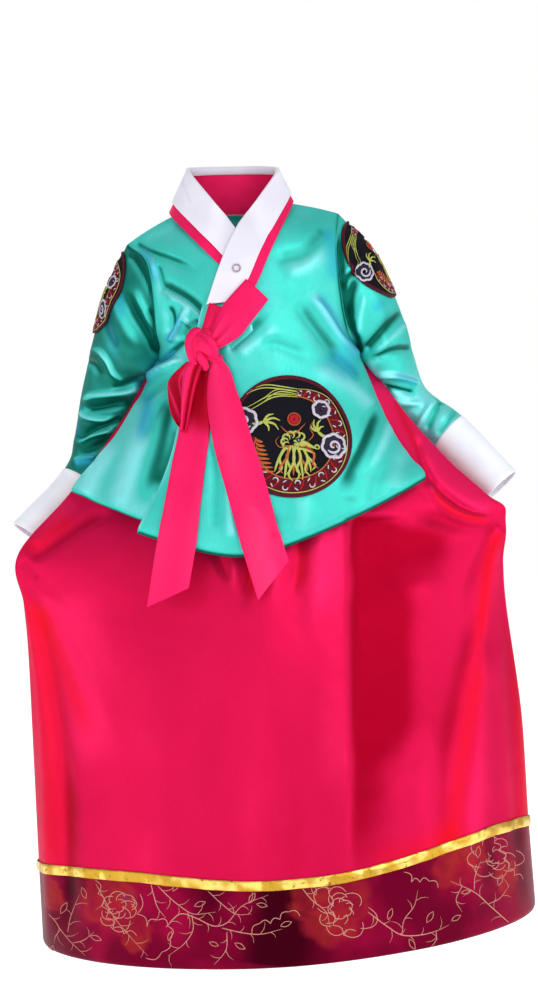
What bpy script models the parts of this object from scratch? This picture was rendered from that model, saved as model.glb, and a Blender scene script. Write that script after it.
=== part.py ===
"""A child's court-style hanbok in its worn form: a satin jacket with open side slits over a high-waisted skirt
whose two sides are lifted out to the hands. Metres, +Z up. The front faces -Y, and +X is the wearer's left.
The origin is at the base of the neck, where the wearer's shoulders carry the set."""

import math

import bmesh
import bpy
import numpy as np

CLOTH = 0.0012  # wall of every cloth piece
GAP = 0.0003  # between two pieces at a seam
LAY = 0.0011  # between a panel and what lies on it
OVERLAP = 0.0029  # from the under front's inner face to the over front's
SEAM = 0.0008  # between a sleeve and its armhole at the shoulder
UNDERARM_SEAM = 0.0072  # the same at the underarm, where their walls stand at a sharp angle

ROUNDEL_RADIUS = 0.069
ROUNDEL_CENTRE = (0.062, -0.256)  # x and z, as seen from the front
SLEEVE_ROUNDEL_RADIUS = 0.051
RIGHT_ROUNDEL_CENTRE = (0.955, 1.42)  # turn round the sleeve, and ring down it
LEFT_ROUNDEL_CENTRE = (0.97, 1.3)
SNAP_CENTRE = (0.002, -0.073)
SNAP_RADIUS = 0.0050
SNAP_WIRE = 0.0008
SNAP_LIFT = 0.0118  # above the front that the collar lies on
TRIM_WIDTH = 0.1  # of the row of the skirt that the hem band fills
BAND_TOP = -0.105  # height of the chest band's upper edge
BAND_FOOT = -0.1585
STRIP_SHARE = 0.76  # of the collar band's width that the white strip covers
NECK_HALF = 0.50  # of half the back's width, that the neck is scooped out of
NECK_DEPTH = 0.70  # rows down from the shoulder line at the middle of the back
KNOT_CENTRE = (-0.035, -0.158)
KNOT = (0.019, 0.0085, 0.018)  # half sizes
KNOT_LIFT = 0.0190

UNDERARM = 3  # row of the jacket's tables where the side slit starts
HEM = 6  # row of the jacket's hem
ARMHOLE_STEPS = 9  # facets of each half of an armhole

# Colour, roughness and metallic value of each material.
FINISHES = {
    "green_satin": ((0.045, 0.60, 0.40), 0.35, 0.0),
    "white_cotton": ((0.80, 0.78, 0.90), 0.80, 0.0),
    "pink_satin": ((0.95, 0.02, 0.12), 0.40, 0.0),
    "crimson_satin": ((0.70, 0.012, 0.08), 0.35, 0.0),
    "wine_organza": ((0.20, 0.005, 0.03), 0.50, 0.0),
    "gold_ribbon": ((0.62, 0.36, 0.05), 0.35, 0.8),
    "navy_badge": ((0.02, 0.015, 0.03), 0.70, 0.0),
    "snap_metal": ((0.35, 0.25, 0.30), 0.35, 0.8),
}


class Sections:
    """Rows of named sizes, read anywhere between them along smooth curves."""

    def __init__(self, columns, *rows):
        self.columns = columns.split()
        self.rows = np.array(rows, float)

    def at(self, place):
        """The sizes at place 0 for the first row, 1 for the second, and so on."""
        rows = self.rows
        place = np.clip(np.asarray(place, float), 0, len(rows) - 1)
        row = np.minimum(place.astype(int), len(rows) - 2)
        ends = np.vstack([2 * rows[0] - rows[1], rows, 2 * rows[-1] - rows[-2]])
        value = smooth(*(ends[row + k] for k in range(4)), (place - row)[..., None])
        return dict(zip(self.columns, np.moveaxis(value, -1, 0)))


def smooth(a, b, c, d, t):
    """A Catmull-Rom curve from b to c."""
    bend = 2 * a - 5 * b + 4 * c - d
    return 0.5 * (2 * b + (c - a) * t + bend * t**2 + (3 * b - a - 3 * c + d) * t**3)


# The jacket's front, top to bottom: its middle, and where each row ends at the armhole or at the slit. "turn" is
# how far the row turns towards the side, in degrees. The row's height changes late on the way there where "droop"
# is large, and evenly where it is small.
FRONT = Sections(
    "mid_x mid_y mid_z right_x right_y right_z left_x left_y left_z turn droop",
    (-0.002, 0.000, 0.008, -0.123, 0.000, -0.041, 0.116, 0.000, -0.006, 60, 5.0),  # shoulder
    (0.000, -0.056, -0.032, -0.098, -0.037, -0.066, 0.113, -0.038, -0.048, 65, 0.4),  # collarbone
    (0.008, -0.086, -0.115, -0.089, -0.039, -0.136, 0.124, -0.039, -0.130, 70, 0.6),  # chest
    (0.022, -0.098, -0.180, -0.089, -0.002, -0.172, 0.142, -0.002, -0.170, 88, 0.6),  # underarm
    (0.020, -0.120, -0.252, -0.126, -0.044, -0.242, 0.173, -0.046, -0.243, 72, 0.4),  # waist
    (0.014, -0.135, -0.320, -0.157, -0.058, -0.284, 0.197, -0.060, -0.281, 64, 0.4),  # hip
    (0.008, -0.146, -0.378, -0.185, -0.068, -0.319, 0.216, -0.070, -0.305, 60, 0.4),  # hem
    (0.004, -0.162, -0.458, -0.214, -0.078, -0.395, 0.240, -0.080, -0.385, 58, 0.4),  # below the hem
)

# The jacket's back, with the same rows.
BACK = Sections(
    "mid_x mid_y mid_z right_x right_y right_z left_x left_y left_z turn droop",
    (-0.002, 0.000, 0.008, -0.123, 0.000, -0.041, 0.116, 0.000, -0.006, 60, 5.0),
    (0.000, 0.062, -0.018, -0.098, 0.037, -0.066, 0.113, 0.038, -0.048, 65, 0.4),
    (0.008, 0.080, -0.108, -0.089, 0.039, -0.136, 0.124, 0.039, -0.130, 70, 0.6),
    (0.022, 0.088, -0.178, -0.089, 0.002, -0.172, 0.142, 0.002, -0.170, 88, 0.6),
    (0.022, 0.104, -0.250, -0.116, 0.066, -0.240, 0.163, 0.068, -0.243, 60, 0.4),
    (0.020, 0.120, -0.318, -0.143, 0.088, -0.284, 0.185, 0.090, -0.281, 50, 0.4),
    (0.016, 0.136, -0.372, -0.168, 0.100, -0.319, 0.207, 0.102, -0.305, 50, 0.4),
)

# Where the two fronts end under the collar and along the wrap, as seen from the front, each with the row of the
# side edge that it is level with. The over front is the wearer's left.
OVER_EDGE = Sections(
    "x z side_row",
    (0.054, 0.004, 0.0),
    (0.038, -0.035, 0.9),
    (0.025, -0.066, 1.6),
    (0.004, -0.086, 2.1),
    (-0.031, -0.103, 2.5),
    (-0.048, -0.175, 3.4),
    (-0.072, -0.285, 4.9),
    (-0.108, -0.362, 6.0),
)
UNDER_EDGE = Sections(
    "x z side_row",
    (-0.064, 0.000, 0.0),
    (-0.036, -0.031, 0.9),
    (-0.008, -0.061, 1.5),
    (0.012, -0.100, 2.1),
    (0.024, -0.170, 3.0),
    (0.026, -0.250, 4.2),
    (0.020, -0.320, 5.2),
    (0.012, -0.374, 6.0),
)

# The collar band, from its end on the over front, up round the neck and down to its end on the under front: its
# edge at the neck and its outer edge. Where "on_front" is 1 the station lies on the jacket, "lift" above it.
COLLAR = Sections(
    "in_x in_y in_z out_x out_y out_z on_front lift",
    (-0.028, -0.095, -0.110, 0.022, -0.092, -0.092, 1, 0.0052),
    (-0.015, -0.085, -0.069, 0.027, -0.085, -0.080, 1, 0.0068),
    (0.002, -0.070, -0.029, 0.036, -0.075, -0.058, 1, 0.0074),
    (0.025, -0.045, 0.008, 0.048, -0.058, -0.031, 0, 0.0),
    (0.046, -0.008, 0.041, 0.065, -0.006, 0.008, 0, 0.0),
    (0.036, 0.031, 0.049, 0.048, 0.0355, -0.004, 0, 0.0),
    (-0.003, 0.046, 0.050, -0.003, 0.0515, -0.0055, 0, 0.0),
    (-0.042, 0.031, 0.048, -0.052, 0.0345, -0.009, 0, 0.0),
    (-0.052, -0.006, 0.041, -0.075, -0.004, -0.005, 0, 0.0),
    (-0.025, -0.045, 0.006, -0.045, -0.056, -0.038, 0, 0.0),
    (0.000, -0.066, -0.027, -0.015, -0.076, -0.068, 1, 0.0024),
    (0.017, -0.072, -0.048, 0.001, -0.082, -0.085, 1, 0.0024),
)

# Rings of the sleeves from just below the armhole to the cuff's seam, and then the cuff's open end, as seen from
# the front: the outer and the inner side, the middle's place in depth, and half the depth.
RIGHT_ARM = Sections(
    "outer_x outer_z inner_x inner_z y half_depth",
    (-0.143, -0.084, -0.098, -0.178, 0.004, 0.041),
    (-0.160, -0.132, -0.104, -0.193, 0.022, 0.038),
    (-0.171, -0.178, -0.109, -0.216, 0.036, 0.036),
    (-0.180, -0.219, -0.119, -0.246, 0.042, 0.034),
    (-0.188, -0.262, -0.136, -0.282, 0.046, 0.030),
    (-0.199, -0.300, -0.158, -0.325, 0.034, 0.026),
    (-0.256, -0.362, -0.217, -0.388, 0.014, 0.023),
)
LEFT_ARM = Sections(
    "outer_x outer_z inner_x inner_z y half_depth",
    (0.150, -0.042, 0.155, -0.179, 0.006, 0.043),
    (0.175, -0.084, 0.163, -0.193, 0.018, 0.041),
    (0.194, -0.130, 0.170, -0.208, 0.032, 0.038),
    (0.206, -0.170, 0.174, -0.226, 0.044, 0.036),
    (0.222, -0.209, 0.190, -0.250, 0.048, 0.032),
    (0.262, -0.239, 0.230, -0.278, 0.034, 0.026),
    (0.322, -0.302, 0.287, -0.335, 0.014, 0.023),
)
CUFF = 6  # ring of the tables where the sleeve ends, counted from the armhole at 0

# Rings of the skirt, from the chest band to the hem: its two side corners, how far its front and back stand from
# them, how round it is (1 is pointed at the corners, 2 is an ellipse), and how far the middle sags below them.
SKIRT = Sections(
    "right_x right_z left_x left_z corner_y front_y back_y round sag",
    (-0.076, -0.160, 0.121, -0.162, 0.004, -0.078, 0.072, 1.7, 0.000),
    (-0.128, -0.240, 0.184, -0.226, -0.004, -0.090, 0.078, 1.25, 0.012),
    (-0.188, -0.324, 0.243, -0.288, -0.020, -0.112, 0.090, 1.25, 0.030),
    (-0.247, -0.394, 0.302, -0.346, -0.034, -0.132, 0.100, 1.2, 0.045),
    (-0.241, -0.450, 0.304, -0.402, -0.028, -0.146, 0.116, 1.28, 0.040),
    (-0.237, -0.507, 0.309, -0.455, -0.018, -0.156, 0.130, 1.4, 0.030),
    (-0.233, -0.623, 0.328, -0.577, -0.005, -0.172, 0.150, 1.6, 0.015),
    (-0.228, -0.744, 0.337, -0.697, 0.000, -0.186, 0.168, 1.75, 0.008),
    (-0.223, -0.845, 0.346, -0.803, 0.000, -0.194, 0.178, 1.8, 0.006),
)
TRIM_ROW = 7.0  # the gold trim's upper edge
BAND_ROW = 7.05  # where the satin ends and the hem band starts
HEM_ROW = 8.0

# Stretches of the ribbon as seen from the front: its left and right edge, and how far it stands off the jacket.
STRAP_LONG = Sections(
    "left_x left_z right_x right_z lift",
    (0.013, -0.081, 0.037, -0.105, 0.0115),
    (-0.005, -0.103, 0.019, -0.128, 0.0110),
    (-0.022, -0.128, 0.000, -0.146, 0.0105),
    (-0.030, -0.141, -0.016, -0.157, 0.0110),
)
STRAP_SHORT = Sections(
    "left_x left_z right_x right_z lift",
    (-0.031, -0.108, -0.014, -0.110, 0.0075),
    (-0.036, -0.126, -0.022, -0.128, 0.0075),
    (-0.042, -0.141, -0.031, -0.143, 0.0080),
)
TAIL_LONG = Sections(
    "left_x left_z right_x right_z lift",
    (-0.031, -0.176, -0.016, -0.176, 0.0075),
    (-0.031, -0.222, 0.003, -0.214, 0.0075),
    (-0.013, -0.292, 0.027, -0.284, 0.0075),
    (0.006, -0.368, 0.047, -0.350, 0.0075),
    (0.026, -0.431, 0.059, -0.390, 0.0075),
)
TAIL_SHORT = Sections(
    "left_x left_z right_x right_z lift",
    (-0.047, -0.180, -0.031, -0.180, 0.0045),
    (-0.060, -0.248, -0.032, -0.247, 0.0045),
    (-0.067, -0.282, -0.033, -0.287, 0.0045),
    (-0.083, -0.370, -0.042, -0.373, 0.0045),
    (-0.094, -0.439, -0.050, -0.419, 0.0045),
)
LOOP = Sections(
    "left_x left_z right_x right_z lift",
    (-0.046, -0.184, -0.030, -0.184, 0.0200),
    (-0.056, -0.210, -0.026, -0.213, 0.0240),
    (-0.058, -0.238, -0.027, -0.243, 0.0220),
    (-0.061, -0.247, -0.029, -0.250, 0.0160),
    (-0.072, -0.228, -0.033, -0.241, 0.0100),
    (-0.073, -0.199, -0.036, -0.212, 0.0090),
    (-0.050, -0.182, -0.034, -0.184, 0.0085),
)


def jacket(table, u, v):
    """Points of a front or back, row v down from the shoulder and u across, -1 to the wearer's right."""
    row = table.at(v)
    turn = np.radians(row["turn"])
    sideways = np.sin(np.abs(u) * turn) / np.sin(turn)
    deep = (1 - np.cos(np.abs(u) * turn)) / (1 - np.cos(turn))
    low = sideways**2 * (1 + row["droop"]) / (sideways + row["droop"])
    shares = {"x": sideways, "y": deep, "z": low}
    points = []
    for axis, share in shares.items():
        side = np.where(u < 0, row["right_" + axis], row["left_" + axis])
        points.append(row["mid_" + axis] + (side - row["mid_" + axis]) * share)
    return np.stack(points, axis=-1)


def front(u, v):
    return jacket(FRONT, np.asarray(u, float), np.asarray(v, float))


def back(u, v):
    """The back, with u running left to right as seen from behind."""
    return jacket(BACK, -np.asarray(u, float), np.asarray(v, float))


def arm_ring(table, front_side, around):
    """Each ring's points at a turn round the arm, 0 at its outer side, with the armhole as the first ring."""
    down = 2 * UNDERARM * np.minimum(around % 1, 1 - around % 1)
    in_front = front_side * np.sin(2 * np.pi * around) > 0
    armhole = np.where(in_front[..., None], front(-front_side, down), back(front_side, down))
    rings = [armhole]
    cosine, sine = np.cos(2 * np.pi * around)[..., None], np.sin(2 * np.pi * around)[..., None]
    sizes = table.at(np.arange(len(table.rows)))
    outer = np.stack([sizes["outer_x"], sizes["y"], sizes["outer_z"]], axis=-1)
    inner = np.stack([sizes["inner_x"], sizes["y"], sizes["inner_z"]], axis=-1)
    middle = (outer + inner) / 2
    along = np.gradient(middle, axis=0)
    along /= np.linalg.norm(along, axis=-1, keepdims=True)
    forward = np.array([0, -1, 0]) + along * along[:, 1:2]
    forward *= (sizes["half_depth"] / np.linalg.norm(forward, axis=-1))[:, None]
    for ring in range(len(table.rows)):
        across = (outer[ring] - inner[ring]) / 2
        rings.append(middle[ring] + cosine * across + front_side * sine * forward[ring])
    out = rings[1] - armhole
    seam = SEAM + (UNDERARM_SEAM - SEAM) * (down / UNDERARM) ** 1.5
    rings[0] = armhole + seam[..., None] * out / np.linalg.norm(out, axis=-1, keepdims=True)
    return np.stack(rings)


def arm(table, front_side, around, ring):
    """Points of a sleeve and its cuff, at a turn round it and a ring down it."""
    around, ring = np.broadcast_arrays(np.asarray(around, float), np.asarray(ring, float))
    rings = arm_ring(table, front_side, around)
    rings = np.concatenate([[2 * rings[0] - rings[1]], rings, [2 * rings[-1] - rings[-2]]])
    place = np.minimum(ring.astype(int), len(table.rows) - 1)
    near = [np.take_along_axis(rings, (place + k)[None, ..., None], axis=0)[0] for k in range(4)]
    return smooth(*near, (ring - place)[..., None])


def right_arm(around, ring):
    return arm(RIGHT_ARM, 1, around, ring)


def left_arm(around, ring):
    return arm(LEFT_ARM, -1, around, ring)


def skirt(around, ring):
    """Points of the skirt: 0 round it is the wearer's right corner, 0.25 the front and 0.5 the left corner."""
    around, ring = np.broadcast_arrays(np.asarray(around, float), np.asarray(ring, float))
    size = SKIRT.at(ring)
    cosine, sine = np.cos(2 * np.pi * around), np.sin(2 * np.pi * around)
    power = 2 / size["round"]
    across = np.sign(cosine) * np.abs(cosine) ** power
    deep = np.abs(sine) ** power
    far_y = np.where(sine > 0, size["front_y"], size["back_y"])
    share = (1 - across) / 2
    x = size["right_x"] + (size["left_x"] - size["right_x"]) * share
    y = size["corner_y"] + (far_y - size["corner_y"]) * deep
    z = size["right_z"] + (size["left_z"] - size["right_z"]) * share - size["sag"] * deep
    return np.stack([x, y, z], axis=-1)


def lifted(surface, across, down, lift):
    """Points of a surface moved straight out of it."""
    step = 0.002
    across, down = np.broadcast_arrays(np.asarray(across, float), np.asarray(down, float))
    along_a = surface(across + step, down) - surface(across - step, down)
    along_d = surface(across, down + step) - surface(across, down - step)
    out = np.cross(along_d, along_a)
    out /= np.linalg.norm(out, axis=-1, keepdims=True)
    return surface(across, down) + np.asarray(lift)[..., None] * out


def under(x, z):
    """The place (u, v) on the jacket's front that lies behind a point of the front view."""
    x, z = np.broadcast_arrays(np.asarray(x, float), np.asarray(z, float))
    u, v = np.clip(x / 0.2, -0.8, 0.8), np.clip((0.008 - z) / 0.062, 0.1, 6.9)
    step = 0.001
    for _ in range(40):
        here = front(u, v)
        by_u = (front(u + step, v) - here) / step
        by_v = (front(u, v + step) - here) / step
        off_x, off_z = x - here[..., 0], z - here[..., 2]
        area = by_u[..., 0] * by_v[..., 2] - by_v[..., 0] * by_u[..., 2]
        u = u + np.clip((off_x * by_v[..., 2] - off_z * by_v[..., 0]) / area, -0.2, 0.2)
        v = v + np.clip((off_z * by_u[..., 0] - off_x * by_u[..., 2]) / area, -0.4, 0.4)
        u, v = np.clip(u, -1, 1), np.clip(v, step, len(FRONT.rows) - 1 - 2 * step)
    return u, v


def on_front(x, z, lift):
    """Points of the front view laid on the jacket's front, lift above it."""
    return lifted(front, *under(x, z), lift)


def material(piece, finish):
    """The piece's own material, in the cloth or metal named by finish."""
    colour, roughness, metallic = FINISHES[finish]
    made = bpy.data.materials.new(piece + "_" + finish)
    made.use_nodes = True
    shader = made.node_tree.nodes["Principled BSDF"]
    shader.inputs["Base Color"].default_value = (*colour, 1)
    shader.inputs["Roughness"].default_value = roughness
    shader.inputs["Metallic"].default_value = metallic
    return made


def finish_object(name, mesh, finish):
    mesh.materials.append(material(name, finish))
    mesh.shade_smooth()
    piece = bpy.data.objects.new(name, mesh)
    bpy.context.scene.collection.objects.link(piece)
    return piece


def cloth(name, points, finish, closed=False):
    """A cloth wall on a grid of points, rows downwards and columns left to right as seen from outside.

    The points are its inner face. A closed grid's last column joins its first."""
    rows, columns = points.shape[:2]
    shell = bmesh.new()
    corners = [shell.verts.new(point) for point in points.reshape(-1, 3)]
    for row in range(rows - 1):
        for column in range(columns if closed else columns - 1):
            beside = (column + 1) % columns
            ring = (row * columns + column, (row + 1) * columns + column)
            shell.faces.new([corners[ring[0]], corners[ring[1]],
                             corners[(row + 1) * columns + beside], corners[row * columns + beside]])
    bmesh.ops.remove_doubles(shell, verts=shell.verts, dist=1e-6)
    mesh = bpy.data.meshes.new(name)
    shell.to_mesh(mesh)
    shell.free()
    piece = finish_object(name, mesh, finish)
    wall = piece.modifiers.new("Wall", "SOLIDIFY")
    wall.thickness = CLOTH
    wall.offset = 1


def spread(first, last, count):
    return np.linspace(first, last, count)


# Rows of the panels' facets at their side edges, which a sleeve's facets meet point to point.
SIDE_ROWS = spread(0, HEM, ARMHOLE_STEPS * HEM // UNDERARM + 1)


def front_panel(name, edge, side, columns, lift):
    """A front between its inner edge and its side edge, which is u = side."""
    places = spread(0, len(edge.rows) - 1, 200)
    stations = edge.at(np.interp(SIDE_ROWS, edge.at(places)["side_row"], places))
    inner_u, inner_v = under(stations["x"], stations["z"])
    share = spread(0, 1, columns)[None, :]
    if side < 0:
        share = 1 - share
    u = inner_u[:, None] + (side - inner_u[:, None]) * share
    v = inner_v[:, None] + (SIDE_ROWS[:, None] - inner_v[:, None]) * share
    settled = lift * (1 - np.abs(u) ** 3)
    cloth(name, lifted(front, u, v, settled), "green_satin")


def back_panel(columns):
    """The back in one piece, scooped out at the neck."""
    u = spread(-1, 1, columns)[None, :]
    top = NECK_DEPTH * np.sqrt(np.clip(1 - (u / NECK_HALF) ** 2, 0, 1))
    v = top + (HEM - top) * SIDE_ROWS[:, None] / HEM
    points = back(u + 0 * v, v)
    points[..., 1] += GAP
    cloth("jacket_back", points, "green_satin")


def collar_points(places, shares):
    """The band's inner face: shares of its width from the neck edge, 0, to the outer edge, 1."""
    size = COLLAR.at(places)
    inner, outer = (np.stack([size[side + axis] for axis in ("_x", "_y", "_z")], axis=-1) for side in ("in", "out"))
    free = inner[:, None] + (outer - inner)[:, None] * shares[None, :, None]
    laid = on_front(free[..., 0], free[..., 2], size["lift"][:, None])
    share = np.clip(size["on_front"], 0, 1)[:, None, None]
    return free + (laid - free) * share * share * (3 - 2 * share)


def moved_out(points, distance):
    """A grid's points moved along its own normals."""
    down = np.gradient(points, axis=0)
    across = np.gradient(points, axis=1)
    out = np.cross(down, across)
    out /= np.linalg.norm(out, axis=-1, keepdims=True)
    return points + distance * out


def collar():
    stations = spread(0, len(COLLAR.rows) - 1, 34)
    cloth("collar_band", collar_points(stations, spread(1, 0, 4)), "pink_satin")
    strip = collar_points(stations[1:], spread(STRIP_SHARE, 0, 4))
    cloth("collar_strip", moved_out(strip, CLOTH + LAY), "white_cotton")


def ribbon(name, table, rows, columns=3):
    """A flat stretch of ribbon between the two edges of its table."""
    size = table.at(spread(0, len(table.rows) - 1, rows))
    share = spread(0, 1, columns)[None, :]
    x = size["left_x"][:, None] + (size["right_x"] - size["left_x"])[:, None] * share
    z = size["left_z"][:, None] + (size["right_z"] - size["left_z"])[:, None] * share
    lift = np.broadcast_to(size["lift"][:, None], x.shape)
    cloth(name, on_front(x, z, lift), "pink_satin")


def knot():
    """A rounded lump where the two ribbons cross."""
    lump = bmesh.new()
    bmesh.ops.create_uvsphere(lump, u_segments=14, v_segments=9, radius=1)
    bmesh.ops.scale(lump, verts=lump.verts, vec=KNOT)
    mesh = bpy.data.meshes.new("tie_knot")
    lump.to_mesh(mesh)
    lump.free()
    piece = finish_object("tie_knot", mesh, "pink_satin")
    piece.location = on_front(*KNOT_CENTRE, KNOT_LIFT)


def disc(name, surface, centre, radius, lift, rings=3, spokes=24):
    """A round badge on a surface: its spokes walk out from the centre across the cloth."""
    step = 0.001
    steps = 12
    turn = 2 * np.pi * spread(0, 1, spokes + 1)[:-1]
    across = np.full(spokes, float(centre[0]))
    down = np.full(spokes, float(centre[1]))
    by_a = surface(across + step, down) - surface(across - step, down)
    by_d = surface(across, down + step) - surface(across, down - step)
    right = by_a / np.linalg.norm(by_a, axis=-1, keepdims=True)
    out = np.cross(by_d, by_a)
    out /= np.linalg.norm(out, axis=-1, keepdims=True)
    low = np.cross(right, out)
    heading = np.cos(turn)[:, None] * right - np.sin(turn)[:, None] * low
    walked = [(across, down)]
    for _ in range(steps):
        by_a = (surface(across + step, down) - surface(across - step, down)) / (2 * step)
        by_d = (surface(across, down + step) - surface(across, down - step)) / (2 * step)
        aa, ad, dd = (by_a * by_a).sum(-1), (by_a * by_d).sum(-1), (by_d * by_d).sum(-1)
        ha, hd = (by_a * heading).sum(-1), (by_d * heading).sum(-1)
        area = aa * dd - ad * ad
        move_a, move_d = (ha * dd - hd * ad) / area, (hd * aa - ha * ad) / area
        travelled = by_a * move_a[:, None] + by_d * move_d[:, None]
        size = radius / steps / np.linalg.norm(travelled, axis=-1)
        across, down = across + move_a * size, down + move_d * size
        heading = travelled / np.linalg.norm(travelled, axis=-1, keepdims=True)
        walked.append((across, down))
    keep = np.linspace(0, steps, rings + 1).astype(int)
    a = np.stack([walked[k][0] for k in keep])
    d = np.stack([walked[k][1] for k in keep])
    cloth(name, lifted(surface, a, d, lift * np.ones_like(a)), "navy_badge", closed=True)


def snap():
    """The snap's ring, flat on the white strip."""
    bpy.ops.mesh.primitive_torus_add(
        major_segments=16, minor_segments=6, major_radius=SNAP_RADIUS - SNAP_WIRE, minor_radius=SNAP_WIRE)
    piece = bpy.context.object
    piece.name = "collar_snap"
    piece.data.materials.append(material("collar_snap", "snap_metal"))
    out = on_front(*SNAP_CENTRE, 1.0) - on_front(*SNAP_CENTRE, 0.0)
    piece.location = on_front(*SNAP_CENTRE, SNAP_LIFT)
    piece.rotation_euler = (math.atan2(-out[1], out[2]), math.asin(out[0]), 0)


def arm_pieces(name, surface):
    around = spread(0, 1, 2 * ARMHOLE_STEPS + 1)[None, :-1]
    sleeve_rings = spread(0, CUFF - 0.01, 11)[:, None]
    cloth("sleeve_" + name, surface(around, sleeve_rings), "green_satin", closed=True)
    cuff_rings = spread(CUFF, CUFF + 1, 3)[:, None]
    cloth("cuff_" + name, surface(around, cuff_rings), "white_cotton", closed=True)


def skirt_half(name, first, ring_from, ring_to, rows, finish, lift=0.0, columns=15):
    """Half of a ring of the skirt, from the side corner at first to the other."""
    around = spread(first, first + 0.5, columns)[None, :]
    ring = spread(ring_from, ring_to, rows)[:, None]
    around, ring = np.broadcast_arrays(around, ring)
    points = skirt(around, ring)
    if lift:
        points = moved_out(points, lift)
    points[..., 1] += -GAP if first == 0 else GAP
    cloth(name, points, finish)


def chest_band():
    around = spread(0, 1, 25)[None, :-1]
    height = spread(BAND_TOP, BAND_FOOT, 3)[:, None]
    points = skirt(around, 0 * height)
    points[..., 2] = height
    cloth("skirt_band", points, "crimson_satin", closed=True)


def skirt_pieces():
    chest_band()
    for name, first in (("front", 0.0), ("back", 0.5)):
        skirt_half("skirt_" + name, first, 0.0, BAND_ROW, 14, "crimson_satin")
        skirt_half("hem_band_" + name, first, BAND_ROW + 0.004, HEM_ROW, 4, "wine_organza")
        skirt_half("hem_trim_" + name, first, TRIM_ROW, TRIM_ROW + TRIM_WIDTH, 3, "gold_ribbon", CLOTH + LAY)


def tie_pieces():
    ribbon("tie_strap_long", STRAP_LONG, 6)
    ribbon("tie_strap_short", STRAP_SHORT, 4)
    ribbon("tie_tail_long", TAIL_LONG, 12)
    ribbon("tie_tail_short", TAIL_SHORT, 12)
    ribbon("tie_loop", LOOP, 19)
    knot()


def jacket_pieces():
    front_panel("jacket_front_under", UNDER_EDGE, -1, 8, 0.0)
    front_panel("jacket_front_over", OVER_EDGE, 1, 12, OVERLAP)
    back_panel(13)
    arm_pieces("right", right_arm)
    arm_pieces("left", left_arm)
    collar()
    snap()
    on_over = OVERLAP + CLOTH + LAY
    on_sleeve = CLOTH + 3 * LAY
    disc("roundel_front", front, under(*ROUNDEL_CENTRE), ROUNDEL_RADIUS, on_over)
    disc("roundel_right", right_arm, RIGHT_ROUNDEL_CENTRE, SLEEVE_ROUNDEL_RADIUS, on_sleeve)
    disc("roundel_left", left_arm, LEFT_ROUNDEL_CENTRE, SLEEVE_ROUNDEL_RADIUS, on_sleeve)


def main():
    for leftover in list(bpy.data.objects):
        bpy.data.objects.remove(leftover)
    jacket_pieces()
    tie_pieces()
    skirt_pieces()


main()
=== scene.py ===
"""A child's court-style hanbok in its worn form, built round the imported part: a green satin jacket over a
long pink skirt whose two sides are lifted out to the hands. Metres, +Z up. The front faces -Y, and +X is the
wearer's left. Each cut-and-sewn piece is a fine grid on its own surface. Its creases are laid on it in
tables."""

import math

import bpy
import numpy as np
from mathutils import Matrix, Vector, noise


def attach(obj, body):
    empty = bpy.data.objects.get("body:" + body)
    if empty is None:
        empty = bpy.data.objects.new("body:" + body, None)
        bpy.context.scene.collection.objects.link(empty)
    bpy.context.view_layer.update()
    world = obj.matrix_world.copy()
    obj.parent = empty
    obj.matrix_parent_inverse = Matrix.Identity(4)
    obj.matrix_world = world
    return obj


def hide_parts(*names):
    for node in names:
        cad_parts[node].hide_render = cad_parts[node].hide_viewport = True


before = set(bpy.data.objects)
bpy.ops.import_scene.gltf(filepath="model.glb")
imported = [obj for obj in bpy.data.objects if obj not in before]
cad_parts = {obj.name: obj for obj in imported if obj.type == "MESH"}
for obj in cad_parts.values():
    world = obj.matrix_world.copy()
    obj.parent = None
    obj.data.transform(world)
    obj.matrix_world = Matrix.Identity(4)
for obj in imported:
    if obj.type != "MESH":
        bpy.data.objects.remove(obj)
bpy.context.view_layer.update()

CLOTH = 0.0012  # wall of every cloth piece
LAY = 0.0011  # between a panel and what lies on it
OVERLAP = 0.0029  # from the under front's inner face to the over front's
SEAM = 0.0003  # between a sleeve and its armhole at the shoulder
UNDERARM_SEAM = 0.0016  # the same at the underarm
GAP = 0.0003  # half of that between a front piece and a back piece at a side

ROUNDEL_RADIUS = 0.069
ROUNDEL_CENTRE = (0.062, -0.256)  # x and z, as seen from the front
SLEEVE_ROUNDEL_RADIUS = 0.051
RIGHT_ROUNDEL_CENTRE = (0.957, 1.29)  # turn round the sleeve, and ring down it
LEFT_ROUNDEL_CENTRE = (0.965, 1.22)
SNAP_CENTRE = (0.002, -0.073)
BAND_TOP = -0.105  # height of the chest band's upper edge
BAND_FOOT = -0.1585
STRIP_SHARE = 0.76  # of the collar band's width that the white strip covers
BADGE_RISE = 0.0017  # from the cloth under a badge to the face of its ground
# The green satin's colour follows the tilt of its folds toward the light, as painted light and shade.
TILT_SHADING = 5.0  # how strongly the green satin's tone follows the tilt of its folds
NECK_HALF = 0.5  # of half the back's width, that the neck is scooped out of
NECK_DEPTH = 0.7  # rows down from the shoulder line at the middle of the back
UNDERARM = 3  # row of the jacket's tables where the side slit starts
HEM = 6  # row of the jacket's hem
CUFF = 6  # ring of the sleeves' tables where the sleeve ends, counted from the armhole at 0

# The front view is measured in squares, right and down from its corner, as the camera sees it.
VIEW_ACROSS = 538
VIEW_DOWN = 998
SQUARE = 0.00115  # side of a square at the distance of the camera's aim
CAMERA_PLACE = np.array((0.038, -3.0, -0.15))
CAMERA_AIM = np.array((0.038, 0.0, -0.332))


class Sections:
    """Rows of named sizes, read anywhere between them along smooth curves."""

    def __init__(self, columns, *rows):
        self.columns = columns.split()
        self.rows = np.array(rows, float)

    def at(self, place):
        """The sizes at place 0 for the first row, 1 for the second, and so on."""
        place = np.clip(np.asarray(place, float), 0, len(self.rows) - 1)
        return dict(zip(self.columns, np.moveaxis(between_rows(self.rows, place), -1, 0)))


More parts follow.
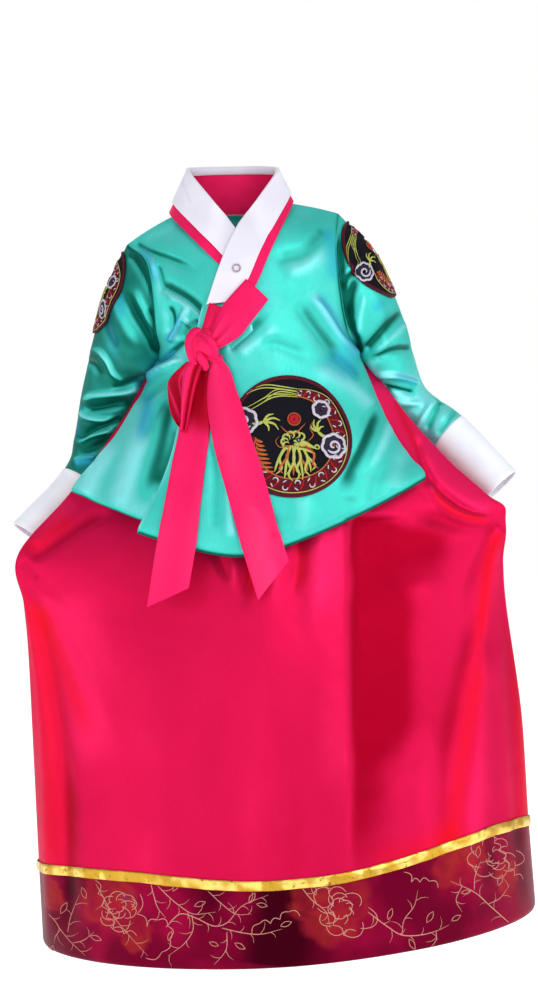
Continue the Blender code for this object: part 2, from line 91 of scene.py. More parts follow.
def smooth(a, b, c, d, t):
    """A Catmull-Rom curve from b to c."""
    bend = 2 * a - 5 * b + 4 * c - d
    return 0.5 * (2 * b + (c - a) * t + bend * t**2 + (3 * b - a - 3 * c + d) * t**3)


def between_rows(rows, place):
    """Rows read at places between them."""
    row = np.minimum(place.astype(int), len(rows) - 2)
    ends = np.vstack([2 * rows[0] - rows[1], rows, 2 * rows[-1] - rows[-2]])
    return smooth(*(ends[row + k] for k in range(4)), (place - row)[..., None])


def unit(vectors):
    """Vectors made 1 long."""
    return vectors / np.maximum(np.linalg.norm(vectors, axis=-1, keepdims=True), 1e-12)


def together(*numbers):
    """Points from their coordinates."""
    return np.stack(np.broadcast_arrays(*numbers), axis=-1)


def floats(*grids):
    """Numbers as grids of one shape."""
    return np.broadcast_arrays(*(np.asarray(grid, float) for grid in grids))


# The jacket's front, top to bottom: its middle, and where each row ends at the armhole or at the slit.
FRONT = Sections(
    "mid_x mid_y mid_z right_x right_y right_z left_x left_y left_z turn droop",
    (-0.002, 0, 0.008, -0.123, 0, -0.041, 0.116, 0, -0.006, 60, 5),  # shoulder
    (0, -0.056, -0.032, -0.098, -0.037, -0.066, 0.113, -0.038, -0.048, 65, 0.4),  # collarbone
    (0.008, -0.086, -0.115, -0.089, -0.039, -0.136, 0.124, -0.039, -0.13, 70, 0.6),  # chest
    (0.022, -0.098, -0.18, -0.089, -0.002, -0.172, 0.142, -0.002, -0.17, 88, 0.6),  # underarm
    (0.02, -0.12, -0.252, -0.126, -0.044, -0.242, 0.173, -0.046, -0.243, 72, 0.4),  # waist
    (0.014, -0.135, -0.32, -0.157, -0.058, -0.284, 0.197, -0.06, -0.281, 64, 0.4),  # hip
    (0.008, -0.146, -0.378, -0.185, -0.068, -0.319, 0.216, -0.07, -0.305, 60, 0.4),  # hem
    (0.004, -0.162, -0.458, -0.214, -0.078, -0.395, 0.24, -0.08, -0.385, 58, 0.4),  # below the hem
    (0, -0.178, -0.538, -0.243, -0.088, -0.471, 0.264, -0.09, -0.465, 56, 0.4),
)

# The jacket's back, with the same rows.
BACK = Sections(
    "mid_x mid_y mid_z right_x right_y right_z left_x left_y left_z turn droop",
    (-0.002, 0, 0.008, -0.123, 0, -0.041, 0.116, 0, -0.006, 60, 5),
    (0, 0.062, -0.018, -0.098, 0.037, -0.066, 0.113, 0.038, -0.048, 65, 0.4),
    (0.008, 0.08, -0.108, -0.089, 0.039, -0.136, 0.124, 0.039, -0.13, 70, 0.6),
    (0.022, 0.088, -0.178, -0.089, 0.002, -0.172, 0.142, 0.002, -0.17, 88, 0.6),
    (0.022, 0.104, -0.25, -0.116, 0.066, -0.24, 0.163, 0.068, -0.243, 60, 0.4),
    (0.02, 0.12, -0.318, -0.143, 0.088, -0.284, 0.185, 0.09, -0.281, 50, 0.4),
    (0.016, 0.136, -0.372, -0.168, 0.1, -0.319, 0.207, 0.102, -0.305, 50, 0.4),
)

# Where the two fronts end under the collar and along the wrap, each with the row of the side edge that it is
# level with.
OVER_EDGE = Sections(
    "x z side_row",
    (0.054, 0.004, 0),
    (0.038, -0.035, 0.9),
    (0.025, -0.066, 1.6),
    (0.004, -0.086, 2.1),
    (-0.031, -0.103, 2.5),
    (-0.048, -0.175, 3.4),
    (-0.072, -0.285, 4.9),
    (-0.108, -0.362, 6),
)
UNDER_EDGE = Sections(
    "x z side_row",
    (-0.064, 0, 0),
    (-0.036, -0.031, 0.9),
    (-0.008, -0.061, 1.5),
    (0.012, -0.1, 2.1),
    (0.024, -0.17, 3),
    (0.026, -0.25, 4.2),
    (0.02, -0.32, 5.2),
    (0.012, -0.374, 6),
)

# The collar band, from its end on the over front, up round the neck and down to its end on the under front.
COLLAR = Sections(
    "in_x in_y in_z out_x out_y out_z on_front lift",
    (-0.029, -0.096, -0.111, 0.014, -0.094, -0.107, 1, 0.0052),
    (-0.015, -0.085, -0.069, 0.027, -0.085, -0.08, 1, 0.0068),
    (0.002, -0.07, -0.029, 0.036, -0.075, -0.058, 1, 0.0074),
    (0.025, -0.045, 0.008, 0.048, -0.058, -0.031, 0, 0),
    (0.046, -0.008, 0.041, 0.065, -0.006, 0.008, 0, 0),
    (0.036, 0.031, 0.049, 0.048, 0.0355, -0.004, 0, 0),
    (-0.003, 0.046, 0.05, -0.003, 0.0515, -0.0055, 0, 0),
    (-0.042, 0.031, 0.048, -0.052, 0.0345, -0.009, 0, 0),
    (-0.052, -0.006, 0.041, -0.075, -0.004, -0.005, 0, 0),
    (-0.025, -0.045, 0.006, -0.045, -0.056, -0.038, 0, 0),
    (0, -0.066, -0.027, -0.015, -0.076, -0.068, 1, 0.0024),
    (0.017, -0.072, -0.048, 0.001, -0.082, -0.085, 1, 0.0024),
)

# Rings of the sleeves from just below the armhole to the cuff's seam, and then the cuff's open end.
RIGHT_ARM = Sections(
    "outer_x outer_z inner_x inner_z y half_depth",
    (-0.143, -0.084, -0.098, -0.178, 0.004, 0.041),
    (-0.16, -0.132, -0.104, -0.193, 0.022, 0.038),
    (-0.171, -0.178, -0.109, -0.216, 0.036, 0.036),
    (-0.18, -0.219, -0.119, -0.246, 0.042, 0.034),
    (-0.188, -0.262, -0.136, -0.282, 0.046, 0.03),
    (-0.199, -0.3, -0.158, -0.325, 0.034, 0.026),
    (-0.256, -0.362, -0.217, -0.388, 0.014, 0.023),
)
LEFT_ARM = Sections(
    "outer_x outer_z inner_x inner_z y half_depth",
    (0.15, -0.042, 0.155, -0.179, 0.006, 0.043),
    (0.175, -0.084, 0.163, -0.193, 0.018, 0.041),
    (0.194, -0.13, 0.17, -0.208, 0.032, 0.038),
    (0.206, -0.17, 0.174, -0.226, 0.044, 0.036),
    (0.222, -0.209, 0.19, -0.25, 0.048, 0.032),
    (0.262, -0.239, 0.23, -0.278, 0.034, 0.026),
    (0.322, -0.302, 0.287, -0.335, 0.014, 0.023),
)

# Rings of the skirt, from the chest band to the hem.
SKIRT = Sections(
    "right_x right_z left_x left_z corner_y front_y back_y round sag",
    (-0.076, -0.16, 0.121, -0.162, 0.004, -0.078, 0.072, 1.7, 0),
    (-0.128, -0.24, 0.184, -0.226, -0.004, -0.09, 0.078, 1.25, 0.012),
    (-0.188, -0.324, 0.243, -0.288, -0.02, -0.112, 0.09, 1.25, 0.03),
    (-0.247, -0.394, 0.302, -0.346, -0.034, -0.132, 0.1, 1.2, 0.045),
    (-0.241, -0.45, 0.304, -0.402, -0.028, -0.146, 0.116, 1.28, 0.04),
    (-0.237, -0.507, 0.309, -0.455, -0.018, -0.156, 0.13, 1.4, 0.03),
    (-0.233, -0.623, 0.328, -0.577, -0.005, -0.172, 0.15, 1.6, 0.015),
    (-0.228, -0.744, 0.337, -0.697, 0, -0.186, 0.168, 1.75, 0.008),
    (-0.223, -0.845, 0.346, -0.803, 0, -0.194, 0.178, 1.8, 0.006),
)
HEM_ROW = 8.0

# Where the gold trim's upper edge runs round the skirt, in rings down it. It sags unevenly.
TRIM_LINE = Sections(
    "front back",
    (7.06, 7.02),
    (7.01, 7.05),
    (6.97, 7),
    (6.97, 6.97),
    (7.04, 7.02),
    (7.07, 7.06),
    (7.06, 7),
    (6.98, 6.97),
    (6.91, 7.03),
    (6.94, 7.05),
    (7.02, 7.06),
)
TRIM_WIDTH = 0.1  # in rings
TRIM_LAP = 0.05  # how far under the trim the skirt and the hem band meet, in rings

# Folds, each drawn on the front view: its height in millimetres (below 0 is a trough), its width in squares
# on the right hand and on the left hand of someone walking along it, the shares of its length over which it
# grows and dies away, and its path in squares.
UNDER_FOLDS = (
    (-3.4, 7, 4, 0.1, 0.3, (134, 243), (150, 252), (172, 260), (204, 273)),
    (3.4, 2.8, 2.8, 0.1, 0.3, (137, 249), (147, 256), (152, 266), (156, 285)),
    (-3.2, 3.5, 5, 0.2, 0.3, (156, 262), (161, 280), (163, 296)),
    (-5.4, 3, 8, 0.2, 0.1, (160, 285), (174, 293), (190, 303), (205, 317)),
    (2.8, 5, 4, 0.3, 0.3, (166, 296), (180, 301), (192, 310)),
    (-5.6, 5, 5, 0.3, 0.2, (168, 304), (172, 318), (172, 334)),
    (6, 3, 3, 0.15, 0.2, (171, 343), (176, 330), (183, 318), (188, 307)),
    (3.6, 2.4, 2.4, 0.3, 0.3, (182, 318), (186, 321), (190, 328)),
    (-4.6, 4.5, 5, 0.2, 0.2, (180, 342), (186, 332), (194, 324), (200, 322)),
    (-6, 2.6, 4, 0.05, 0.3, (158, 363), (170, 354), (180, 346), (188, 338)),
    (6, 2.6, 4.5, 0.1, 0.2, (147, 380), (160, 370), (172, 365), (185, 358)),
    (-3.6, 6, 8, 0.1, 0.3, (186, 368), (172, 378), (150, 392), (134, 406)),
    (-3, 5, 6, 0.2, 0.3, (178, 384), (164, 402), (148, 428), (138, 452)),
    (2.2, 9, 8, 0.3, 0.2, (154, 408), (140, 440), (126, 484), (116, 512)),
    (-5.4, 6, 6, 0.3, 0.2, (180, 416), (173, 440), (164, 468), (152, 496)),
    (-1, 9, 9, 0.3, 0.1, (132, 436), (112, 466), (98, 504)),
    (2.2, 8, 8, 0.3, 0.1, (114, 446), (94, 474), (84, 497)),
)
OVER_FOLDS = (
    (-3, 8, 9, 0.3, 0.1, (262, 258), (284, 257), (305, 250), (326, 226)),
    (2.2, 10, 9, 0.3, 0.3, (280, 276), (306, 268), (328, 246)),
    (5.4, 9, 5, 0.3, 0.1, (308, 292), (322, 310), (340, 338), (359, 359)),
    (-3.2, 8, 7, 0.3, 0.2, (296, 300), (314, 328), (340, 360)),
    (-4.6, 4, 5, 0.1, 0.3, (228, 350), (246, 333), (268, 312)),
    (2.4, 6, 6, 0.2, 0.3, (236, 358), (258, 342), (280, 326)),
    (-2.2, 9, 8, 0.3, 0.3, (252, 340), (282, 346), (314, 360)),
    (-3.4, 6, 6, 0.3, 0.2, (322, 352), (344, 364), (361, 382)),
    (2.4, 12, 9, 0.3, 0.1, (306, 366), (340, 384), (372, 412)),
    (-2.8, 4.5, 9, 0.15, 0.25, (377, 407), (367, 434), (356, 459), (347, 477), (338, 494)),
    (2.6, 7, 7, 0.3, 0.3, (390, 420), (380, 446), (368, 476)),
    (-1.2, 6, 8, 0.5, 0.1, (384, 446), (376, 480), (372, 504)),
    (1, 9, 9, 0.4, 0.1, (404, 442), (396, 468), (392, 492)),
    (-2.4, 5, 8, 0.2, 0.1, (211, 436), (215, 470), (213, 530)),
    (2.2, 7, 9, 0.2, 0.1, (222, 452), (228, 490), (230, 544)),
    (-2.4, 8, 9, 0.2, 0.1, (250, 500), (266, 520), (272, 540)),
    (1, 12, 12, 0.3, 0.1, (300, 496), (302, 514), (298, 536)),
    (-1.2, 10, 8, 0.3, 0.1, (352, 494), (350, 508), (346, 524)),
)
BACK_FOLDS = (
    (-3.2, 7, 9, 0.1, 0.3, (150, 262), (180, 290), (214, 306)),
    (2.6, 8, 8, 0.1, 0.3, (154, 300), (186, 318), (222, 326)),
    (-4.2, 6, 8, 0.1, 0.3, (160, 352), (188, 346), (226, 338)),
    (3.4, 8, 8, 0.1, 0.3, (160, 366), (196, 364), (236, 372)),
    (-3, 8, 8, 0.1, 0.3, (334, 252), (312, 282), (280, 300)),
    (2.6, 8, 8, 0.1, 0.3, (342, 300), (314, 320), (276, 334)),
    (-4.4, 6, 8, 0.1, 0.3, (356, 352), (322, 348), (282, 352)),
    (3.2, 8, 8, 0.1, 0.3, (362, 372), (330, 370), (292, 378)),
    (-3.6, 10, 12, 0.3, 0.1, (170, 392), (156, 440), (140, 500)),
    (3.2, 12, 12, 0.3, 0.1, (196, 396), (188, 450), (180, 516)),
    (-3, 12, 12, 0.3, 0.1, (226, 390), (222, 450), (216, 530)),
    (3, 13, 12, 0.3, 0.1, (258, 396), (260, 460), (262, 534)),
    (-3.4, 12, 12, 0.3, 0.1, (292, 392), (302, 450), (312, 524)),
    (3.2, 11, 12, 0.3, 0.1, (326, 392), (342, 450), (356, 510)),
    (-3, 9, 9, 0.3, 0.1, (350, 390), (374, 440), (396, 490)),
)
RIGHT_SLEEVE_FOLDS = (
    (-5.4, 4.5, 3.5, 0.1, 0.2, (131, 253), (141, 267), (149, 282), (154, 297)),
    (-7.5, 5, 4, 0.2, 0.1, (151, 307), (156, 324), (162, 346)),
    (-6.5, 5, 4, 0.3, 0.1, (124, 290), (134, 312), (146, 332), (159, 357)),
    (3.6, 4, 4, 0.3, 0.3, (134, 288), (143, 308), (154, 332)),
    (3, 7, 6, 0.3, 0.3, (113, 290), (124, 322), (140, 350)),
    (-3, 5, 5, 0.3, 0.3, (104, 306), (108, 330), (118, 352)),
    (4.2, 2.6, 2.6, 0.3, 0.3, (88, 350), (100, 352), (108, 361), (114, 374), (125, 383)),
    (-3.6, 4, 4, 0.3, 0.3, (84, 360), (94, 364), (102, 376)),
    (-4.6, 4.5, 4, 0.1, 0.3, (156, 366), (142, 377), (124, 386), (110, 388)),
    (5.4, 4.5, 3.4, 0.2, 0.2, (82, 404), (92, 397), (110, 394), (130, 390), (142, 384)),
    (-7, 4.5, 5, 0.2, 0.3, (84, 409), (104, 407), (130, 402)),
    (4.8, 2.8, 2.8, 0.2, 0.3, (80, 410), (86, 417), (104, 420), (122, 415)),
    (-6.5, 3.6, 5, 0.2, 0.2, (75, 441), (92, 431), (108, 425), (122, 418)),
    (4.4, 2.6, 2.6, 0.2, 0.3, (77, 446), (90, 437), (104, 432), (115, 430)),
    (-3.6, 5, 5, 0.3, 0.3, (78, 455), (96, 447), (112, 440)),
    (3.4, 3, 3, 0.2, 0.2, (73, 463), (86, 458), (97, 457)),
)
LEFT_SLEEVE_FOLDS = (
    (-6.5, 2.5, 5, 0.2, 0.05, (337, 228), (338, 270), (347, 316), (360, 357)),
    (-4.2, 3.5, 4, 0.1, 0.3, (339, 288), (348, 277), (361, 269)),
    (3.6, 3, 3, 0.1, 0.3, (340, 280), (350, 268), (363, 259)),
    (-5.2, 4.5, 4.5, 0.3, 0.2, (356, 276), (350, 298), (348, 320)),
    (3.4, 4.5, 4.5, 0.3, 0.2, (366, 290), (359, 316), (357, 338)),
    (-4.8, 4, 4.5, 0.3, 0.1, (402, 310), (386, 327), (364, 351)),
    (3.6, 4.5, 4.5, 0.3, 0.2, (410, 322), (392, 336), (370, 356)),
    (-4.6, 4.5, 4, 0.3, 0.2, (416, 350), (396, 350), (368, 362)),
    (5.2, 4, 3, 0.3, 0.1, (372, 374), (394, 375), (420, 384)),
    (-5, 4, 4, 0.3, 0.2, (374, 384), (396, 390), (418, 394)),
    (3, 4, 4, 0.3, 0.2, (388, 398), (404, 403), (424, 404)),
    (-4.4, 3.6, 4, 0.2, 0.2, (444, 398), (434, 412), (424, 434)),
    (3.6, 3.6, 3.6, 0.2, 0.2, (434, 400), (425, 414), (414, 430)),
    (-3, 3, 3, 0.3, 0.2, (456, 410), (447, 422), (437, 438)),
)
SKIRT_FOLDS = (
    (3.4, 6, 8, 0.06, 0.1, (22, 572), (33, 620), (41, 680), (46, 750), (50, 880), (52, 950)),
    (-4, 6, 10, 0.06, 0.1, (24, 574), (42, 636), (57, 714), (66, 800), (70, 950)),
    (2.2, 8, 11, 0.06, 0.3, (30, 580), (54, 622), (76, 664), (102, 730)),
    (-1.8, 4, 6, 0.03, 0.5, (22, 562), (34, 578), (56, 600), (86, 624)),
    (-1.2, 10, 14, 0.2, 0.4, (60, 610), (84, 654), (114, 720), (132, 800)),
    (-3.6, 5, 9, 0.1, 0.3, (28, 560), (60, 541), (90, 522), (114, 512)),
    (1.4, 6, 8, 0.1, 0.3, (34, 545), (56, 520), (74, 500)),
    (-3.2, 4, 5, 0.02, 0.4, (214, 540), (218, 562), (228, 584)),
    (3, 5, 5, 0.02, 0.4, (228, 540), (234, 568), (232, 598)),
    (-4.4, 5, 6, 0.02, 0.4, (243, 540), (249, 574), (242, 612)),
    (2.4, 8, 7, 0.02, 0.4, (268, 536), (274, 574), (270, 620)),
    (-3.4, 6, 7, 0.02, 0.4, (298, 530), (298, 566), (290, 602)),
    (2.4, 9, 9, 0.02, 0.5, (318, 528), (316, 580), (310, 650)),
    (3.8, 34, 6, 0.02, 0.5, (338, 520), (341, 600), (343, 700), (344, 800), (344, 960)),
    (-4.4, 9, 36, 0.02, 0.3, (360, 514), (361, 600), (361, 700), (358, 800), (354, 960)),
    (1.6, 14, 14, 0.1, 0.2, (424, 580), (420, 640), (418, 720), (420, 940)),
    (-4.2, 3, 4, 0.1, 0.2, (415, 434), (423, 464), (438, 489), (468, 510), (492, 516)),
    (3.2, 4, 6, 0.1, 0.2, (427, 482), (441, 503), (462, 516), (495, 520)),
    (-2.4, 6, 9, 0.1, 0.3, (496, 525), (470, 527), (440, 519), (408, 508)),
    (-2.6, 5, 8, 0.03, 0.4, (500, 524), (484, 546), (470, 582), (462, 624)),
    (2.8, 5, 6, 0.03, 0.3, (502, 528), (492, 558), (486, 604), (478, 690)),
    (-1.8, 3, 4, 0.05, 0.4, (503, 532), (501, 580), (503, 650)),
    (-2.6, 11, 6, 0.2, 0.2, (480, 600), (466, 660), (452, 720), (442, 800), (446, 930)),
    (3.4, 9, 16, 0.2, 0.2, (488, 640), (482, 690), (478, 746), (470, 850), (474, 940)),
    (-2.4, 6, 6, 0.1, 0.2, (508, 600), (510, 680), (514, 760), (519, 900)),
    (1.2, 26, 30, 0.4, 0.2, (150, 620), (156, 760), (152, 960)),
    (-1, 26, 26, 0.4, 0.2, (210, 640), (208, 780), (214, 965)),
    (1.2, 26, 24, 0.4, 0.2, (256, 640), (250, 780), (250, 966)),
    (-1.4, 16, 20, 0.5, 0.1, (300, 640), (296, 780), (290, 966)),
    (-1, 18, 18, 0.4, 0.1, (104, 700), (100, 820), (98, 958)),
)
SKIRT_BACK_FOLDS = (
    (-7, 9, 9, 0.06, 0.2, (30, 566), (60, 640), (82, 740), (88, 950)),
    (6, 8, 9, 0.06, 0.2, (26, 566), (40, 660), (50, 780), (54, 940)),
    (-8, 7, 9, 0.1, 0.1, (32, 556), (80, 548), (130, 526)),
    (5, 9, 9, 0.1, 0.3, (44, 570), (110, 578), (150, 560)),
    (-7, 8, 9, 0.05, 0.1, (500, 524), (462, 522), (424, 500)),
    (6, 9, 9, 0.05, 0.2, (500, 530), (480, 610), (466, 720), (462, 900)),
    (-6, 9, 9, 0.05, 0.2, (498, 540), (460, 600), (436, 720), (430, 900)),
    (6, 12, 10, 0.02, 0.2, (172, 530), (160, 650), (146, 780), (140, 950)),
    (-7, 9, 12, 0.02, 0.2, (200, 530), (192, 650), (180, 790), (176, 955)),
    (7, 10, 10, 0.02, 0.2, (222, 530), (220, 660), (214, 800), (212, 960)),
    (-7.5, 9, 9, 0.02, 0.2, (244, 530), (246, 660), (246, 800), (248, 960)),
    (7, 11, 9, 0.02, 0.2, (268, 530), (274, 660), (280, 800), (284, 960)),
    (-7, 9, 12, 0.02, 0.2, (290, 528), (300, 660), (312, 800), (318, 955)),
    (6.5, 12, 10, 0.02, 0.2, (314, 524), (330, 650), (348, 780), (356, 950)),
    (-7, 10, 10, 0.02, 0.2, (340, 516), (366, 640), (388, 780), (396, 945)),
)

# Painted shade along the line where the white strip is creased; its shape is not creased there.
STRIP_CREASE_SHADE = ((-2.6, 2.4, 2.4, 0.1, 0.3, (182, 180), (187, 194), (193, 208)),)

# Where the green satin lies in shade, drawn in the same way, in the unit of its folds.
GREEN_SHADES = (
    (-4.6, 3, 9, 0.1, 0.1, (337, 238), (339, 281), (343, 316), (352, 343), (361, 357)),
    (-2.4, 8, 8, 0.3, 0.2, (398, 304), (379, 333), (361, 355)),
    (-7.6, 10, 6, 0.2, 0.25, (176, 396), (169, 416), (163, 444), (154, 475), (141, 514)),
    (-4.2, 7, 9, 0.4, 0.4, (381, 392), (373, 418), (360, 448), (345, 474), (329, 502)),
    (-2.2, 10, 14, 0.3, 0.1, (240, 500), (262, 516), (296, 520)),
    (-2, 16, 16, 0.4, 0.1, (300, 512), (340, 500), (366, 480)),
)
# Where a painted bluish sheen lies on the green satin, from 0 to 1.
BLUE_SHEEN_STREAKS = (
    (0.8, 7, 4, 0.2, 0.1, (314, 290), (328, 309), (344, 338), (360, 360)),
    (0.6, 7, 4, 0.2, 0.2, (327, 224), (332, 250), (334, 284)),
    (0.5, 12, 10, 0.3, 0.3, (330, 350), (346, 366), (362, 380)),
    (0.9, 4, 4, 0.1, 0.2, (168, 343), (176, 329), (184, 314)),
    (0.7, 3, 3, 0.1, 0.2, (138, 248), (148, 255), (154, 268), (157, 288)),
    (0.8, 6, 6, 0.1, 0.3, (176, 352), (164, 360), (150, 376), (128, 396)),
    (0.9, 6, 6, 0.3, 0.3, (151, 386), (147, 412), (138, 450)),
    (0.22, 16, 16, 0.3, 0.3, (322, 350), (334, 366), (346, 386)),
    (0.3, 5, 6, 0.3, 0.3, (106, 316), (112, 336), (116, 362)),
    (0.6, 5, 5, 0.2, 0.3, (118, 290), (120, 304), (126, 322)),
    (0.8, 4, 5, 0.2, 0.2, (73, 465), (86, 461), (99, 458)),
    (0.5, 5, 5, 0.3, 0.3, (80, 396), (76, 420), (74, 440)),
    (0.6, 5, 5, 0.3, 0.3, (384, 298), (378, 306), (372, 312)),
    (0.6, 4, 4, 0.3, 0.2, (390, 374), (402, 377), (416, 384)),
)

# Where the skirt's satin glows orange-red beside its folds: a painted sheen.
SKIRT_GLOW = (
    (0.7, 8, 12, 0.1, 0.2, (28, 590), (42, 660), (51, 760), (56, 940)),
    (0.6, 10, 9, 0.1, 0.3, (40, 600), (70, 680), (92, 744)),
    (0.6, 7, 7, 0.2, 0.3, (24, 556), (50, 534), (80, 514)),
    (0.7, 5, 6, 0.1, 0.4, (246, 545), (252, 578), (246, 606)),
    (0.6, 6, 6, 0.1, 0.4, (302, 534), (302, 570), (294, 600)),
    (0.9, 5, 6, 0.1, 0.4, (500, 528), (488, 560), (480, 620), (472, 680)),
    (0.7, 10, 8, 0.3, 0.2, (482, 640), (472, 700), (456, 800), (444, 900)),
    (0.9, 3, 4, 0.1, 0.2, (432, 490), (446, 508), (468, 518), (494, 522)),
    (0.7, 4, 4, 0.1, 0.3, (394, 398), (408, 430), (424, 462)),
    (0.5, 16, 12, 0.3, 0.3, (360, 866), (420, 846), (476, 824)),
    (0.6, 5, 6, 0.1, 0.2, (512, 560), (516, 660), (522, 780), (528, 900)),
)

# Where the skirt lies in light or in shade, in the unit of its folds.
SKIRT_SHADES = (
    (7, 14, 16, 0.05, 0.2, (372, 380), (400, 420), (430, 456), (470, 496), (498, 516)),
    (3, 16, 14, 0.1, 0.2, (76, 496), (48, 528), (26, 556)),
    (4.6, 54, 40, 0.2, 0.3, (46, 580), (80, 680), (100, 800)),
    (2.6, 12, 12, 0.1, 0.3, (506, 540), (502, 640), (508, 760), (514, 860)),
    (-4.8, 40, 14, 0.1, 0.3, (346, 530), (400, 538), (470, 544)),
    (-4.4, 60, 50, 0.3, 0.3, (388, 560), (398, 660), (400, 780)),
)

# Where the hem band is painted darker, as shade, in the unit of its folds.
HEM_SHADES = (
    (-6, 38, 44, 0.02, 0.05, (280, 870), (276, 920), (272, 968)),
    (-2, 14, 14, 0.02, 0.1, (214, 880), (204, 920), (200, 966)),
    (-2, 10, 10, 0.1, 0.1, (56, 880), (58, 920), (60, 950)),
    (-1.2, 18, 18, 0.1, 0.1, (400, 860), (410, 900), (414, 940)),
    (-1.6, 10, 10, 0.1, 0.1, (522, 826), (526, 880), (528, 906)),
)


def jacket(table, u, v):
    """Points of a front or back, row v down from the shoulder and u across, -1 to the wearer's right."""
    row = table.at(v)
    turn = np.radians(row["turn"])
    sideways = np.sin(np.abs(u) * turn) / np.sin(turn)
    deep = (1 - np.cos(np.abs(u) * turn)) / (1 - np.cos(turn))
    low = sideways**2 * (1 + row["droop"]) / (sideways + row["droop"])
    shares = {"x": sideways, "y": deep, "z": low}
    points = []
    for axis, share in shares.items():
        side = np.where(u < 0, row["right_" + axis], row["left_" + axis])
        points.append(row["mid_" + axis] + (side - row["mid_" + axis]) * share)
    return np.stack(points, axis=-1)


def front(u, v):
    return jacket(FRONT, np.asarray(u, float), np.asarray(v, float))


def back(u, v):
    """The back, with u running left to right as seen from behind."""
    return jacket(BACK, -np.asarray(u, float), np.asarray(v, float))


def arm_ring(table, front_side, around):
    """Each ring's points at a turn round the arm, 0 at its outer side. The armhole is the first ring."""
    down = 2 * UNDERARM * np.minimum(around % 1, 1 - around % 1)
    in_front = front_side * np.sin(2 * np.pi * around) > 0
    armhole = np.where(in_front[..., None], front(-front_side, down), back(front_side, down))
    rings = [armhole]
    cosine, sine = np.cos(2 * np.pi * around)[..., None], np.sin(2 * np.pi * around)[..., None]
    sizes = table.at(np.arange(len(table.rows)))
    outer = together(sizes["outer_x"], sizes["y"], sizes["outer_z"])
    inner = together(sizes["inner_x"], sizes["y"], sizes["inner_z"])
    middle = (outer + inner) / 2
    along = unit(np.gradient(middle, axis=0))
    forward = np.array([0, -1, 0]) + along * along[:, 1:2]
    forward *= (sizes["half_depth"] / np.linalg.norm(forward, axis=-1))[:, None]
    for ring in range(len(table.rows)):
        across = (outer[ring] - inner[ring]) / 2
        rings.append(middle[ring] + cosine * across + front_side * sine * forward[ring])
    seam = SEAM + (UNDERARM_SEAM - SEAM) * (down / UNDERARM) ** 1.5
    rings[0] = armhole + seam[..., None] * unit(rings[1] - armhole)
    return np.stack(rings)


def arm(table, front_side, around, ring):
    """Points of a sleeve and its cuff, at a turn round it and a ring down it."""
    around, ring = floats(around, ring)
    rings = arm_ring(table, front_side, around)
    rings = np.concatenate([[2 * rings[0] - rings[1]], rings, [2 * rings[-1] - rings[-2]]])
    place = np.minimum(ring.astype(int), len(table.rows) - 1)
    near = [np.take_along_axis(rings, (place + k)[None, ..., None], axis=0)[0] for k in range(4)]
    return smooth(*near, (ring - place)[..., None])


def right_arm(around, ring):
    return arm(RIGHT_ARM, 1, around, ring)


def left_arm(around, ring):
    return arm(LEFT_ARM, -1, around, ring)


def skirt(around, ring):
    """Points of the skirt. 0 round it is the wearer's right corner, 0.25 the front, 0.5 the left corner."""
    around, ring = floats(around, ring)
    size = SKIRT.at(ring)
    cosine, sine = np.cos(2 * np.pi * around), np.sin(2 * np.pi * around)
    power = 2 / size["round"]
    across = np.sign(cosine) * np.abs(cosine) ** power
    deep = np.abs(sine) ** power
    far_y = np.where(sine > 0, size["front_y"], size["back_y"])
    share = (1 - across) / 2
    x = size["right_x"] + (size["left_x"] - size["right_x"]) * share
    y = size["corner_y"] + (far_y - size["corner_y"]) * deep
    z = size["right_z"] + (size["left_z"] - size["right_z"]) * share - size["sag"] * deep
    return together(x, y, z)


def slopes(surface, across, down, step):
    """How a surface's points move with each of the two numbers that place them."""
    by_across = surface(across + step, down) - surface(across - step, down)
    by_down = surface(across, down + step) - surface(across, down - step)
    return by_across / (2 * step), by_down / (2 * step)


def out_of(surface, across, down):
    """Unit vectors straight out of a surface."""
    by_across, by_down = slopes(surface, across, down, 0.002)
    return unit(np.cross(by_down, by_across))


def raised(base, height, out):
    """Points moved by a height along directions."""
    return base + np.asarray(height)[..., None] * out


def lifted(surface, across, down, lift):
    """Points of a surface moved straight out of it."""
    across, down = floats(across, down)
    return raised(surface(across, down), lift, out_of(surface, across, down))


def under(x, z):
    """The place (u, v) on the jacket's front that lies behind a point of the front view."""
    x, z = floats(x, z)
    u, v = np.clip(x / 0.2, -0.8, 0.8), np.clip((0.008 - z) / 0.062, 0.1, 6.9)
    step = 0.001
    for _ in range(40):
        here = front(u, v)
        by_u = (front(u + step, v) - here) / step
        by_v = (front(u, v + step) - here) / step
        off_x, off_z = x - here[..., 0], z - here[..., 2]
        area = by_u[..., 0] * by_v[..., 2] - by_v[..., 0] * by_u[..., 2]
        u = u + np.clip((off_x * by_v[..., 2] - off_z * by_v[..., 0]) / area, -0.2, 0.2)
        v = v + np.clip((off_z * by_u[..., 0] - off_x * by_u[..., 2]) / area, -0.4, 0.4)
        u, v = np.clip(u, -1, 1), np.clip(v, step, len(FRONT.rows) - 1 - 2 * step)
    return u, v


def in_view(points):
    """Where points stand in the front view, in squares right and down."""
    ahead = CAMERA_AIM - CAMERA_PLACE
    distance = np.linalg.norm(ahead)
    ahead = ahead / distance
    up = np.cross((1.0, 0.0, 0.0), ahead)
    off = points - CAMERA_PLACE
    squares = distance / SQUARE / (off @ ahead)
    return together(VIEW_ACROSS / 2 + off[..., 0] * squares, VIEW_DOWN / 2 - (off @ up) * squares)


